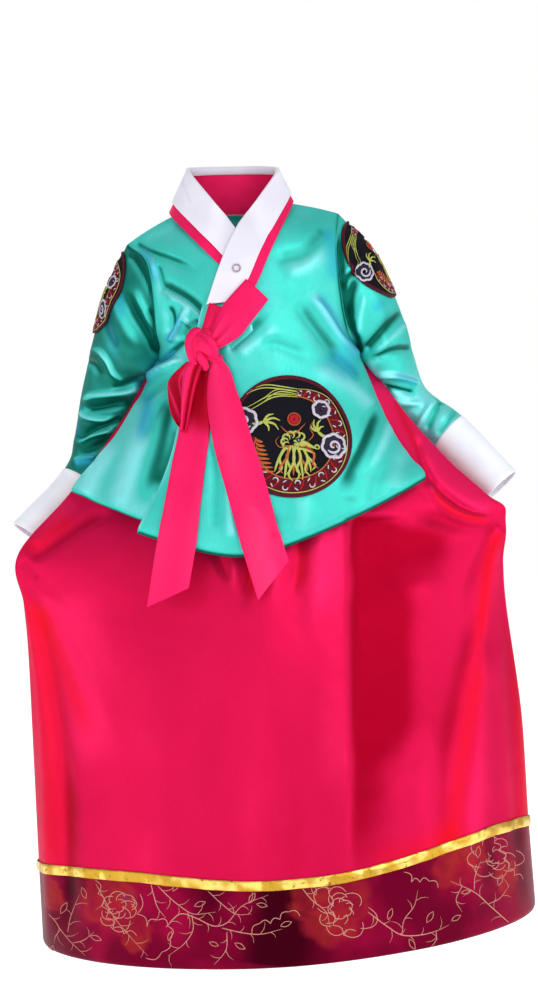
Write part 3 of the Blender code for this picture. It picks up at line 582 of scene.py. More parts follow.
def seen_at(spots, lift):
    """The x and z on the jacket's front that put a point lift above it at spots of the front view."""
    spots = np.asarray(spots, float)
    x = CAMERA_AIM[0] + (spots[..., 0] - VIEW_ACROSS / 2) * SQUARE
    z = CAMERA_AIM[2] - (spots[..., 1] - VIEW_DOWN / 2) * SQUARE
    for _ in range(6):
        off = spots - in_view(lifted(front, *under(x, z), lift))
        x = x + 0.9 * SQUARE * off[..., 0]
        z = z - 0.9 * SQUARE * off[..., 1]
    return x, z


def eased(share):
    """0 to 1, leaving and arriving softly."""
    share = np.clip(share, 0, 1)
    return share * share * (3 - 2 * share)


def bump_at(place, middle, width):
    """A rounded ridge, 1 high at its middle."""
    return np.exp(-(((place - middle) / width) ** 2))


def line_through(path, count):
    """A smooth line through the points of a path."""
    path = np.array(path, float)
    return between_rows(path, np.linspace(0, len(path) - 1, count))


def folds_at(spots, folds, widen=1.0):
    """Height of a table of folds at spots of the front view, in the table's unit."""
    flat = spots.reshape(-1, 2)
    total = np.zeros(len(flat))
    for height, right, left, start, end, *path in folds:
        right, left = widen * right, widen * left
        line = line_through(path, 6 * len(path))
        reach = 2.6 * max(right, left)
        near = np.all((flat > line.min(0) - reach) & (flat < line.max(0) + reach), axis=1)
        here = flat[near]
        if not len(here):
            continue
        best = np.full(len(here), 1e9)
        side = np.zeros(len(here))
        place = np.zeros(len(here))
        for k in range(len(line) - 1):
            along = line[k + 1] - line[k]
            off = here - line[k]
            share = np.clip(off @ along / (along @ along), 0, 1)
            away = off - share[:, None] * along
            gap = np.einsum("ij,ij->i", away, away)
            closer = gap < best
            best = np.where(closer, gap, best)
            side = np.where(closer, along[0] * off[:, 1] - along[1] * off[:, 0], side)
            place = np.where(closer, (k + share) / (len(line) - 1), place)
        width = np.where(side > 0, right, left)
        grown = eased(place / max(start, 1e-3)) * eased((1 - place) / max(end, 1e-3))
        total[near] += height * grown * np.exp(-best / width**2)
    return total.reshape(spots.shape[:-1])


def wander(points, size, start):
    """Smooth chance waves from about -1 to 1, as long as size."""
    shift = Vector((start, 2 * start, 3 * start))
    flat = points.reshape(-1, 3) / size
    return np.array([noise.noise(Vector(point) + shift) for point in flat]).reshape(points.shape[:-1])


def drape(points, folds, start):
    """Height of the folds at points of a surface, with slight waves between them, in metres."""
    waves = 0.0007
    height = 0.001 * folds_at(in_view(points), folds, 0.8)
    return height + (waves * wander(points, 0.045, start) + 0.35 * waves * wander(points, 0.014, start + 7))


def tilted_up(points, height):
    """How far the folds tip the cloth toward the light from the upper right, in millimetres to a square."""
    spots = in_view(points)
    down, across = np.gradient(spots, axis=0), np.gradient(spots, axis=1)
    rise_down, rise_across = 1000 * np.gradient(height, axis=0), 1000 * np.gradient(height, axis=1)
    area = across[..., 0] * down[..., 1] - across[..., 1] * down[..., 0]
    least = 0.35 * np.median(np.abs(area))
    area = np.where(area < 0, -1, 1) * np.maximum(np.abs(area), least)
    to_right = (rise_across * down[..., 1] - rise_down * across[..., 1]) / area
    to_foot = (rise_down * across[..., 0] - rise_across * down[..., 0]) / area
    return np.clip(0.8 * to_foot - 0.45 * to_right, -1.0, 1.0)


def facing_out(grid, closed=False):
    """Unit vectors straight out of a grid, rows downwards and columns left to right as seen from outside."""
    down = np.gradient(grid, axis=0)
    if closed:
        across = np.roll(grid, -1, axis=1) - np.roll(grid, 1, axis=1)
    else:
        across = np.gradient(grid, axis=1)
    return unit(np.cross(down, across))


def lengths_along(grid, axis):
    """How far each point of a grid is along its row or column."""
    gaps = np.linalg.norm(np.diff(grid, axis=axis), axis=-1)
    start = np.zeros_like(np.take(gaps, [0], axis=axis))
    return np.cumsum(np.concatenate([start, gaps], axis=axis), axis=axis)


def grid_faces(rows, columns, closed):
    """Corners of a grid's faces, in order as seen from outside."""
    number = np.arange(rows * columns).reshape(rows, columns)
    beside = np.roll(number, -1, axis=1) if closed else number[:, 1:]
    here = number if closed else number[:, :-1]
    return np.stack([here[:-1], here[1:], beside[1:], beside[:-1]], axis=-1).reshape(-1, 4)


def rim_loops(rows, columns, closed):
    """The grid's edge as closed loops of point numbers, each with its neighbour one step in from the edge."""
    number = np.arange(rows * columns).reshape(rows, columns)
    if closed:
        return [(number[-1], number[-2]), (number[0, ::-1], number[1, ::-1])]
    inward = number[np.clip(np.arange(rows), 1, rows - 2)][:, np.clip(np.arange(columns), 1, columns - 2)]
    loops = []
    for table in (number, inward):
        loops.append(np.concatenate([table[:-1, 0], table[-1, :-1], table[:0:-1, -1], table[0, :0:-1]]))
    return [tuple(loops)]


def shell(name, outer, finish, closed=False, wall=CLOTH, **marks):
    """A cloth wall behind a grid of outer points, with a half-round rim. marks are kept at each point."""
    rows, columns = outer.shape[:2]
    inner = (outer - wall * facing_out(outer, closed)).reshape(-1, 3)
    place = together(lengths_along(outer, 1), lengths_along(outer, 0), 0.0).reshape(-1, 3)
    points = [outer.reshape(-1, 3), inner]
    count = rows * columns
    source = [np.arange(count), np.arange(count)]
    quads = grid_faces(rows, columns, closed)
    faces = [quads, quads[:, ::-1] + count]
    total = 2 * count
    for edge, beside in rim_loops(rows, columns, closed):
        away = unit(points[0][edge] - points[0][beside])
        points.append((points[0][edge] + inner[edge]) / 2 + 0.45 * wall * away)
        source.append(edge)
        middle = total + np.arange(len(edge))
        total += len(edge)
        following = np.roll(np.arange(len(edge)), -1)
        faces.append(np.stack([edge[following], edge, middle, middle[following]], axis=1))
        faces.append(np.stack([middle[following], middle, edge + count, edge[following] + count], axis=1))
    source = np.concatenate(source)
    kept = {title: np.asarray(values).reshape(-1)[source] for title, values in marks.items()}
    mesh_piece(name + "_cloth", [name], finish, points, faces, place[source], kept)


def mesh_piece(name, nodes, finish, points, faces, place=None, marks=None, colours=None):
    """A piece from lists of points and four-cornered faces. nodes are the plain pieces that it stands for,
    place is where its points lie on the flat cloth, and colours has the number of each face's material."""
    slot, *materials = finish
    mesh = bpy.data.meshes.new(name)
    mesh.from_pydata(np.concatenate(points).tolist(), [], np.concatenate(faces).tolist())
    for material in materials:
        mesh.materials.append(material)
    if colours is not None:
        mesh.polygons.foreach_set("material_index", np.asarray(colours, np.int32))
    mesh.shade_smooth()
    for title, values in (marks or {}).items():
        mesh.attributes.new(title, "FLOAT", "POINT").data.foreach_set("value", np.asarray(values, np.float32))
    if place is not None:
        kept = mesh.attributes.new("place", "FLOAT_VECTOR", "POINT")
        kept.data.foreach_set("vector", place.astype(np.float32).ravel())
    piece = placed(name, mesh)
    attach(piece, "root")
    if nodes:
        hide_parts(*nodes)


def placed(name, data):
    """A new object in the scene."""
    made = bpy.data.objects.new(name, data)
    bpy.context.scene.collection.objects.link(made)
    return made


def feed(tree, socket, value):
    """Links a socket, or sets it."""
    if isinstance(value, bpy.types.NodeSocket):
        tree.links.new(value, socket)
    else:
        socket.default_value = value


# Shader building blocks. Each effect that more than one cloth uses is a node group.


def add(tree, kind, inputs=None, **settings):
    """A shader node with its inputs linked or set."""
    made = tree.nodes.new(kind)
    for key, value in settings.items():
        setattr(made, key, value)
    for key, value in (inputs or {}).items():
        feed(tree, made.inputs[key], value)
    return made


def shader_group(name, inputs, outputs):
    """An empty node group with its named sockets, told apart by their first values."""
    tree = bpy.data.node_groups.new(name, "ShaderNodeTree")
    for title, value in inputs.items():
        kind = {float: "Float", 3: "Vector", 4: "Color"}[float if isinstance(value, float) else len(value)]
        socket = tree.interface.new_socket(title, in_out="INPUT", socket_type="NodeSocket" + kind)
        socket.default_value = value
    for title, kind in outputs.items():
        tree.interface.new_socket(title, in_out="OUTPUT", socket_type="NodeSocket" + kind)
    ends = tree.nodes.new("NodeGroupOutput").inputs

    def give(**values):
        for title, value in values.items():
            tree.links.new(value, ends[title])
        return tree

    return tree, tree.nodes.new("NodeGroupInput").outputs, give


def ramp(tree, value, low, high, to_low=0.0, to_high=1.0):
    """A value taken from low..high to to_low..to_high, softly."""
    return add(tree, "ShaderNodeMapRange", {
        "Value": value, "From Min": low, "From Max": high, "To Min": to_low, "To Max": to_high,
    }, interpolation_type="SMOOTHSTEP").outputs["Result"]


def mixed(tree, share, first, second):
    """Two colours mixed by a share."""
    made = add(tree, "ShaderNodeMix", {"Factor": share}, data_type="RGBA")
    for key, colour in (("A", first), ("B", second)):
        feed(tree, next(slot for slot in made.inputs if slot.name == key and slot.type == "RGBA"), colour)
    return next(slot for slot in made.outputs if slot.type == "RGBA")


def reckoned(tree, operation, *values):
    return add(tree, "ShaderNodeMath", dict(enumerate(values)), operation=operation).outputs[0]


def times(tree, first, second):
    return reckoned(tree, "MULTIPLY", first, second)


def cloudy(tree, scale, detail=2.0, **inputs):
    """Soft noise over the piece."""
    spot = add(tree, "ShaderNodeTexCoord").outputs["Object"]
    inputs = {"Vector": spot, "Scale": scale, "Detail": detail, **inputs}
    return add(tree, "ShaderNodeTexNoise", inputs).outputs["Fac"]


def make_fold_tone():
    """Painted shade and highlight: cloth colour darkened toward the valley colour as the cloth lies deeper in
    folds, and lightened toward the crest colour as it lies higher on their crests, with a slight random drift
    toward the valley colour.
    """
    tree, get, give = shader_group("fold tone", {
        "Fold": 0.0, "Valley": (0, 0, 0, 1), "Cloth": (0.5, 0.5, 0.5, 1), "Crest": (1, 1, 1, 1),
        "Drift Size": 14.0, "Drift": 0.15,
    }, {"Color": "Color"})
    toned = mixed(tree, ramp(tree, get["Fold"], -0.3, -5.5), get["Cloth"], get["Valley"])
    toned = mixed(tree, ramp(tree, get["Fold"], 0.4, 5.0), toned, get["Crest"])
    share = times(tree, ramp(tree, cloudy(tree, get["Drift Size"]), 0.35, 0.7), get["Drift"])
    return give(Color=mixed(tree, share, toned, get["Valley"]))


RELIEF = {"Height": "Float", "Shade": "Float"}


def make_weave():
    """Fine threads on a flat cut of cloth: long floats one way, with a slight uneven tone."""
    inputs = {"Place": (0, 0, 0), "Threads": 2200.0, "Length": 90.0}
    tree, get, give = shader_group("weave", inputs, RELIEF)
    counts = add(tree, "ShaderNodeCombineXYZ", {"X": get["Threads"], "Y": get["Length"]}).outputs[0]
    scaled = add(tree, "ShaderNodeVectorMath", {0: get["Place"], 1: counts}, operation="MULTIPLY").outputs[0]
    laid = add(tree, "ShaderNodeTexNoise", {"Vector": scaled, "Scale": 1.0, "Detail": 1.0}).outputs["Fac"]
    return give(Height=laid, Shade=ramp(tree, laid, 0.3, 0.7))


def make_plain_weave():
    """Over-and-under threads of plain cotton or organza."""
    tree, get, give = shader_group("plain weave", {"Place": (0, 0, 0), "Threads": 1400.0}, RELIEF)
    scaled = add(tree, "ShaderNodeVectorMath", {0: get["Place"], "Scale": get["Threads"]}, operation="SCALE")
    inputs = {"Vector": scaled.outputs[0], "Scale": 0.5, "Distortion": 0.6}
    waves = [add(tree, "ShaderNodeTexWave", inputs, bands_direction=way).outputs["Fac"] for way in ("X", "Y")]
    crossed = times(tree, *waves)
    return give(Height=crossed, Shade=ramp(tree, crossed, 0.0, 1.0))


def make_stitches():
    """Satin stitches laid side by side along a band or a thread."""
    tree, get, give = shader_group("stitches", {"Place": (0, 0, 0), "Pitch": 0.0009, "Slant": 0.6}, RELIEF)
    parts = add(tree, "ShaderNodeSeparateXYZ", {"Vector": get["Place"]}).outputs
    slanted = reckoned(tree, "MULTIPLY_ADD", parts["X"], get["Slant"], parts["Y"])
    turns = reckoned(tree, "DIVIDE", slanted, get["Pitch"])
    height = ramp(tree, reckoned(tree, "SINE", times(tree, turns, 2 * math.pi)), -1.0, 0.8)
    return give(Height=height, Shade=height)


FOLD_SHADING = make_fold_tone()
WEAVE = make_weave()
PLAIN_WEAVE = make_plain_weave()
STITCHES = make_stitches()


def new_material(name, **sockets):
    """A material with its Principled shader's own sockets set."""
    made = bpy.data.materials.new(name)
    made.use_nodes = True
    shader = made.node_tree.nodes["Principled BSDF"]
    for title, value in sockets.items():
        shader.inputs[title.replace("_", " ")].default_value = value
    return made.node_tree, shader, made


def kept_number(tree, title):
    return add(tree, "ShaderNodeAttribute", attribute_name=title).outputs["Fac"]


def dressed(tree, shader, made, colour, rough=None, height=None, strength=0.0, distance=0.0002):
    """The material with what varies over it linked: its colour, roughness and relief."""
    tree.links.new(colour, shader.inputs["Base Color"])
    if rough:
        tree.links.new(rough, shader.inputs["Roughness"])
    if height:
        bump = add(tree, "ShaderNodeBump", {"Height": height, "Strength": strength, "Distance": distance})
        tree.links.new(bump.outputs["Normal"], shader.inputs["Normal"])
    return made


def used(tree, group, **inputs):
    """A group placed in a material with its own values."""
    made = add(tree, "ShaderNodeGroup", node_tree=group)
    for title, value in inputs.items():
        feed(tree, made.inputs[title.replace("_", " ")], value)
    return made.outputs


# Painted shade and highlight by the depth of folds, from the shading group.
def folded(tree, valley, cloth, crest, drift, drift_size):
    return used(tree, FOLD_SHADING, Fold=kept_number(tree, "fold"), Valley=valley, Cloth=cloth, Crest=crest,
                Drift=drift, Drift_Size=drift_size)["Color"]


def thready(tree, group, **inputs):
    """The relief and shade of threads that follow the flat cloth."""
    place = add(tree, "ShaderNodeAttribute", attribute_name="place").outputs["Vector"]
    laid = used(tree, group, Place=place, **inputs)
    return laid["Height"], laid["Shade"]


def satin(name, valley, cloth, crest, drift=0.15, drift_size=14.0, blue=None, roughness=0.4, **sockets):
    """Satin whose colour is painted darker in its folds, as shade, and lighter on their crests, as highlight.
    """
    tree, *parts = new_material(name, **sockets)
    colour = folded(tree, valley, cloth, crest, drift, drift_size)
    # A painted sheen colour, mixed in by the share kept at each point.
    if blue:
        colour = mixed(tree, kept_number(tree, "blue"), colour, blue)
    height, shade = thready(tree, WEAVE)
    colour = mixed(tree, times(tree, shade, 0.1), colour, valley)
    rough = ramp(tree, shade, 0.0, 1.0, roughness - 0.05, roughness + 0.05)
    return dressed(tree, *parts, colour, rough, height, 0.12)


def white_cloth(name, colour, shadow):
    tree, *parts = new_material(name, Sheen_Weight=0.15, Specular_IOR_Level=0.3)
    height, shade = thready(tree, PLAIN_WEAVE)
    # Painted shade in the folds, toward the shadow colour.
    toned = folded(tree, shadow, colour, colour, 0.25, 30.0)
    toned = mixed(tree, times(tree, shade, 0.12), toned, shadow)
    return dressed(tree, *parts, toned, ramp(tree, shade, 0.0, 1.0, 0.72, 0.88), height, 0.25)


def flowered_organza(name):
    """Dark organza with soft printed flowers over it, thin enough to let the pink behind it glow."""
    tree, *parts = new_material(name, Metallic=0.5, Specular_IOR_Level=0.02)
    ground = mixed(tree, ramp(tree, cloudy(tree, 11.0, 3.0), 0.42, 0.66), WINE, WINE_LIT)
    # Painted shade in the hollows of the folds and painted highlight on their crests.
    toned = folded(tree, WINE_DEEP, ground, WINE_LIT, 0.35, 9.0)
    petal_tone = cloudy(tree, 26.0)
    petal = mixed(tree, ramp(tree, petal_tone, 0.4, 0.62), PETAL_RED, PETAL_ORANGE)
    petal = mixed(tree, ramp(tree, petal_tone, 0.62, 0.75), petal, PETAL_LILAC)
    colour = mixed(tree, times(tree, kept_number(tree, "bloom"), 0.6), toned, petal)
    height, shade = thready(tree, PLAIN_WEAVE, Threads=1100.0)
    colour = mixed(tree, times(tree, shade, 0.22), colour, WINE_DEEP)
    return dressed(tree, *parts, colour, ramp(tree, shade, 0.0, 1.0, 0.36, 0.52), height, 0.3)


def gold_foil_ribbon(name):
    tree, *parts = new_material(name, Metallic=0.85)
    crinkle = cloudy(tree, 160.0, 3.0, Roughness=0.6)
    patch = cloudy(tree, 45.0, 1.0)
    colour = mixed(tree, ramp(tree, patch, 0.42, 0.62), GOLD, GOLD_LIT)
    colour = mixed(tree, ramp(tree, crinkle, 0.58, 0.72), colour, GOLD_DARK)
    return dressed(tree, *parts, colour, ramp(tree, patch, 0.3, 0.7, 0.42, 0.24), crinkle, 0.5, 0.0006)


def badge_ground(name, colour, sheen):
    tree, *parts = new_material(name, Specular_IOR_Level=0.06)
    height, shade = thready(tree, STITCHES, Pitch=0.0011, Slant=0.15)
    colour = mixed(tree, times(tree, shade, 0.5), colour, sheen)
    return dressed(tree, *parts, colour, ramp(tree, shade, 0.0, 1.0, 0.5, 0.7), height, 0.4)


def thread(name, colour, shadow, **sockets):
    """Embroidery thread, shaded between its stitches."""
    tree, *parts = new_material(name, Specular_IOR_Level=0.15, **sockets)
    height, shade = thready(tree, STITCHES, Pitch=0.001, Slant=0.5)
    rough = ramp(tree, shade, 0.0, 1.0, 0.62, 0.38)
    return dressed(tree, *parts, mixed(tree, shade, shadow, colour), rough, height, 0.5)


def snap_metal(name):
    tree, *parts = new_material(name, Metallic=0.8)
    wear = cloudy(tree, 700.0)
    colour = mixed(tree, ramp(tree, wear, 0.4, 0.7), SNAP_TONE, SNAP_LIT)
    return dressed(tree, *parts, colour, ramp(tree, wear, 0.3, 0.7, 0.28, 0.5))


def pale_floor(name):
    tree, *parts = new_material(name, Roughness=0.9, Specular_IOR_Level=0.0, Emission_Color=(1, 1, 1, 1),
                                Emission_Strength=0.52)
    return dressed(tree, *parts, mixed(tree, cloudy(tree, 3.0), (0.93, 0.93, 0.93, 1), (0.96, 0.96, 0.96, 1)))


# Colours. In the satins, the cottons and the organza, the _DEEP and _SHADOW colours are painted shade
# in the hollows of folds, and both also darken the threads of the weave; the _LIT colours of the satins
# and the organza are painted highlight on the crests, and WINE_LIT also lightens the hem's ground at
# random. The bluish green and the orange-red glow colours are painted sheen.
GREEN = (0.058, 0.66, 0.575, 1)
GREEN_DEEP = (0, 0.12, 0.085, 1)
GREEN_LIT = (0.27, 0.89, 0.92, 1)
GREEN_BLUE_SHEEN = (0.03, 0.42, 0.62, 1)
PINK = (0.93, 0.013, 0.13, 1)
PINK_DEEP = (0.48, 0, 0.018, 1)
PINK_LIT = (1, 0.035, 0.17, 1)
CRIMSON = (0.69, 0.007, 0.074, 1)
CRIMSON_DEEP = (0.36, 0, 0.016, 1)
CRIMSON_LIT = (0.9, 0.016, 0.12, 1)
CRIMSON_GLOW = (0.78, 0.006, 0.022, 1)
COTTON = (0.83, 0.81, 0.91, 1)
COTTON_SHADOW = (0.6, 0.58, 0.74, 1)
CUFF_WHITE = (0.88, 0.9, 0.97, 1)
CUFF_SHADOW = (0.66, 0.68, 0.8, 1)
WINE = (0.165, 0.001, 0.022, 1)
WINE_DEEP = (0.045, 0, 0.006, 1)
WINE_LIT = (0.33, 0.003, 0.042, 1)
PETAL_RED = (0.36, 0.012, 0.03, 1)
PETAL_ORANGE = (0.46, 0.03, 0.02, 1)
PETAL_LILAC = (0.24, 0.05, 0.11, 1)
GOLD = (0.61, 0.352, 0.03, 1)
GOLD_LIT = (0.956, 0.68, 0.16, 1)
GOLD_DARK = (0.33, 0.15, 0.01, 1)
SNAP_TONE = (0.33, 0.23, 0.29, 1)
SNAP_LIT = (0.62, 0.52, 0.58, 1)
BADGE_NAVY = (0.004, 0.004, 0.007, 1)
BADGE_SHEEN = (0.014, 0.012, 0.02, 1)

# The finishes: the record's slot of each, and its material.
GREEN_SATIN = "green_satin", satin(
    "green satin", GREEN_DEEP, GREEN, GREEN_LIT, blue=GREEN_BLUE_SHEEN, roughness=0.44,
    Metallic=0.4, Specular_IOR_Level=0.14, Specular_Tint=(0.6, 0.95, 1.0, 1))
PINK_RIBBON = "pink_satin", satin(
    "pink ribbon satin", PINK_DEEP, PINK, PINK_LIT, drift=0.1, roughness=0.46,
    Metallic=0.4, Specular_IOR_Level=0.12)
SKIRT_SATIN = "crimson_satin", satin(
    "crimson skirt satin", CRIMSON_DEEP, CRIMSON, CRIMSON_LIT, drift=0.16, drift_size=6.0, blue=CRIMSON_GLOW,
    roughness=0.42, Metallic=0.55, Specular_IOR_Level=0.1, Specular_Tint=(1.0, 0.3, 0.42, 1))
WHITE_COTTON = "white_cotton", white_cloth("white collar cotton", COTTON, COTTON_SHADOW)
CUFF_COTTON = "white_cotton", white_cloth("white cuff cotton", CUFF_WHITE, CUFF_SHADOW)
BAND_COTTON = "crimson_satin", white_cloth("chest band cotton", CRIMSON, CRIMSON_DEEP)
HEM_ORGANZA = "wine_organza", flowered_organza("flowered hem organza")
GOLD_RIBBON = "gold_ribbon", gold_foil_ribbon("gold foil ribbon")
BADGE_CLOTH = "navy_badge", badge_ground("navy badge ground", BADGE_NAVY, BADGE_SHEEN)
SNAP_RING = "snap_metal", snap_metal("grey snap metal")
THREADS = {
    "maroon": thread("maroon edge thread", (0.12, 0.006, 0.02, 1), (0.04, 0.002, 0.007, 1)),
    "lime": thread("yellow-green thread", (0.6, 0.66, 0.15, 1), (0.24, 0.27, 0.05, 1)),
    "silver": thread("silver thread", (0.76, 0.7, 0.8, 1), (0.33, 0.3, 0.36, 1), Metallic=0.3),
    "red": thread("red thread", (0.56, 0.01, 0.022, 1), (0.19, 0.003, 0.01, 1)),
    "crimson": thread("dark crimson thread", (0.15, 0.004, 0.012, 1), (0.05, 0.001, 0.006, 1)),
    "orange": thread("orange thread", (0.64, 0.16, 0.045, 1), (0.24, 0.05, 0.016, 1)),
    "navy": thread("navy thread", (0.02, 0.018, 0.045, 1), (0.008, 0.007, 0.018, 1)),
    "glitter": thread("rose-gold thread", (0.86, 0.43, 0.33, 1), (0.4, 0.13, 0.1, 1), Metallic=0.3),
}


def spread(first, last, count):
    return np.linspace(first, last, count)


def edge_spread(count, near=0.012):
    """Shares from 0 to 1 with two extra close to each end, so that an edge can be rolled."""
    inner = spread(near, 1 - near, count - 4)
    return np.concatenate([[0, near / 3], inner, [1 - near / 3, 1]])


def hem_roll(distance, width, depth):
    """How far a cloth drops within a width of its edge, as it turns under."""
    return -depth * np.clip(1 - distance / width, 0, 1) ** 1.5


# The jacket.


def over_height(points):
    return drape(points, OVER_FOLDS, 3.1)


def under_height(points):
    return drape(points, UNDER_FOLDS, 11.7)


def front_panel(name, edge, side, rows, columns, lift, height, turned):
    """A front between its inner edge and its side edge, which is u = side."""
    side_rows = spread(0, HEM, rows)
    places = spread(0, len(edge.rows) - 1, 400)
    stations = edge.at(np.interp(side_rows, edge.at(places)["side_row"], places))
    inner_u, inner_v = under(stations["x"], stations["z"])
    share = edge_spread(columns)[None, :]
    if side < 0:
        share = 1 - share
    u = inner_u[:, None] + (side - inner_u[:, None]) * share
    v = inner_v[:, None] + (side_rows[:, None] - inner_v[:, None]) * share
    base = lifted(front, u, v, lift * (1 - np.abs(u) ** 3))
    across = lengths_along(base, 1)
    to_side = across[:, -1:] - across if side > 0 else across
    to_edge = across if side > 0 else across[:, -1:] - across
    down = lengths_along(base, 0)
    to_hem = down[-1:] - down
    at_seam = np.broadcast_to(side_rows[:, None] < UNDERARM + 0.05, u.shape)
    under_collar = np.broadcast_to(stations["z"][:, None] > SNAP_CENTRE[1] - 0.04, u.shape)
    height_here = height(base)
    height_here *= np.where(at_seam, eased(to_side / 0.007), 1)
    flat = np.where(under_collar, eased((to_edge - 0.012) / 0.014), 1)
    height_here = np.where(height_here > 0, height_here * flat, height_here * (0.3 + 0.7 * flat))
    free = np.where(at_seam, 1.0, to_side)
    rolled = hem_roll(to_hem, turned, 0.55 * turned) + hem_roll(free, 0.003, 0.0007)
    rolled += np.where(under_collar, 0, hem_roll(to_edge, 0.0025, 0.0007))
    outer = raised(base, CLOTH + height_here + rolled, out_of(front, u, v))
    # Painted light and shade: the flared part is painted lighter as it hangs open to the light, the table of
    # shades darkens it, painted shade lies at the turn of the hem and along the armhole seam, and a painted
    # highlight runs along the rolled wrap edge; the colour follows the tilt of the folds, and is painted
    # darker in the hollows of the folds and of the hem's roll.
    painted_light_and_shade = 1.1 + (0.1 if side > 0 else 1.9) * eased((v - 2.0) / 2.5)
    painted_light_and_shade = painted_light_and_shade + folds_at(in_view(base), GREEN_SHADES) - 6.0 * bump_at(to_hem, 0, 0.0028)
    painted_light_and_shade = painted_light_and_shade - np.where(at_seam, 3.2 * bump_at(to_side, 0, 0.0035), 0)
    painted_light_and_shade = painted_light_and_shade + np.where(under_collar, 0, 4.0 * bump_at(to_edge, 0, 0.0016))
    painted_light_and_shade = painted_light_and_shade + TILT_SHADING * tilted_up(base, height_here)
    shell(name, outer, GREEN_SATIN,
          fold=1000 * (height_here + rolled * np.where(to_hem < turned, 1.0, 0.2)) + painted_light_and_shade,
          blue=folds_at(in_view(base), BLUE_SHEEN_STREAKS))


def back_panel(rows, columns):
    """The back in one piece, scooped out at the neck."""
    u = (2 * edge_spread(columns) - 1)[None, :]
    side_rows = spread(0, HEM, rows)[:, None]
    top = NECK_DEPTH * np.sqrt(np.clip(1 - (u / NECK_HALF) ** 2, 0, 1))
    v = top + (HEM - top) * side_rows / HEM
    base = back(u + 0 * v, v) + np.array((0, GAP, 0))
    across = lengths_along(base, 1)
    to_side = np.minimum(across, across[:, -1:] - across)
    down = lengths_along(base, 0)
    to_hem = down[-1:] - down
    at_seam = side_rows < UNDERARM + 0.05
    height_here = drape(base, BACK_FOLDS, 23.3)
    height_here *= np.where(at_seam, eased(to_side / 0.007), 1) * eased((down - 0.002) / 0.02)
    rolled = hem_roll(to_hem, 0.004, 0.0018) + hem_roll(np.where(at_seam, 1.0, to_side), 0.003, 0.0007)
    # Painted shade in the hollows of the folds and by their tilt, and patches of painted bluish sheen placed
    # at random.
    shell("jacket_back", raised(base, CLOTH + height_here + rolled, facing_out(base)), GREEN_SATIN,
          fold=1000 * height_here + TILT_SHADING * tilted_up(base, height_here),
          blue=0.5 * eased((wander(base, 0.05, 41.0) - 0.15) / 0.4))


def arm_height(points, out, folds, start, around, ring):
    """Folds of a sleeve: those of the front view in front, and their echo a little lower behind."""
    spots = in_view(points)
    facing = eased((0.25 - out[..., 1]) / 0.5)
    ahead = folds_at(spots, folds, 0.82)
    behind = 0.75 * folds_at(spots + np.array((2.0, -9.0)), folds)
    height = 0.001 * (ahead * facing + behind * (1 - facing))
    height *= eased(ring / 0.1) * eased((CUFF + 0.02 - ring) / 0.12)
    silhouette = 1 - 0.65 * bump_at(out[..., 1], 0, 0.35)
    height *= silhouette
    slight = 0.0007 * wander(points, 0.04, start) + 0.0003 * wander(points, 0.014, start + 3)
    inner_side = bump_at(around % 1, 0.5, 0.09) * bump_at(ring, 1.3, 0.9)
    height = height * (1 - inner_side) + 0.0042 * inner_side
    return height + slight * eased(ring / 0.2)


def sleeve(side, surface, folds, start, shade, foot_shade, rows, columns):
    around = 0.5 + spread(0, 1, columns + 1)[None, :-1]
    ring = (CUFF - 0.015) * spread(0, 1, rows)[:, None]
    around, ring = np.broadcast_arrays(around, ring)
    base = surface(around, ring)
    out = out_of(surface, around, ring)
    height = arm_height(base, out, folds, start, around, ring)
    from_front = eased(-out[..., 1] / 0.3)
    # Painted light and shade: seen from the front, the colour follows the tilt of the folds and the table of
    # shades; it is painted darker in the hollows of the folds, lighter or darker all over by shade, turning
    # to foot_shade towards the cuff, and darker along the armhole seam; the painted bluish sheen shows from
    # the front.
    shaded = TILT_SHADING * tilted_up(base, height) + folds_at(in_view(base), GREEN_SHADES)
    tone = 1000 * height + shaded * from_front
    tone += shade + (foot_shade - shade) * eased((ring - 2.8) / 1.8) - 3.0 * bump_at(ring, 0, 0.04)
    shell("sleeve_" + side, raised(base, CLOTH + height, out), GREEN_SATIN, closed=True,
          fold=tone, blue=folds_at(in_view(base), BLUE_SHEEN_STREAKS) * from_front)


def cuff(side, surface, start, rows, columns):
    """A stiff white cuff: a turned edge at each end, and a seam where it meets the sleeve."""
    around = 0.5 + spread(0, 1, columns + 1)[None, :-1]
    share = edge_spread(rows, 0.03)[:, None]
    around, share = np.broadcast_arrays(around, share)
    base = surface(around, CUFF + 0.001 + 0.999 * share)
    out = out_of(surface, around, CUFF + 0.05 + 0.9 * share)
    edge = 0.0005 * (np.exp(-((share - 0.04) / 0.03) ** 2) + np.exp(-((share - 0.95) / 0.03) ** 2))
    slight = 0.0006 * wander(base, 0.035, start) * eased(share / 0.3)
    outer = raised(base, CLOTH + 0.0007 + (edge + slight), out)
    # The colour is painted darker in the hollows of its slight waves, as shade.
    shell("cuff_" + side, outer, CUFF_COTTON, closed=True, wall=0.0017, fold=1000 * slight)


def on_front(x, z, lift):
    """Points of the front view laid on the jacket's front, lift above it."""
    return lifted(front, *under(x, z), lift)


def collar_points(places, shares):
    """The band's inner face: shares of its width from the neck edge, 0, to the outer edge, 1."""
    size = COLLAR.at(places)
    inner, outer = (together(*(size[side + axis] for axis in "xyz")) for side in ("in_", "out_"))
    free = inner[:, None] + (outer - inner)[:, None] * shares[None, :, None]
    laid = on_front(free[..., 0], free[..., 2], size["lift"][:, None])
    share = np.clip(size["on_front"], 0, 1)[:, None, None]
    return free + (laid - free) * share * share * (3 - 2 * share)


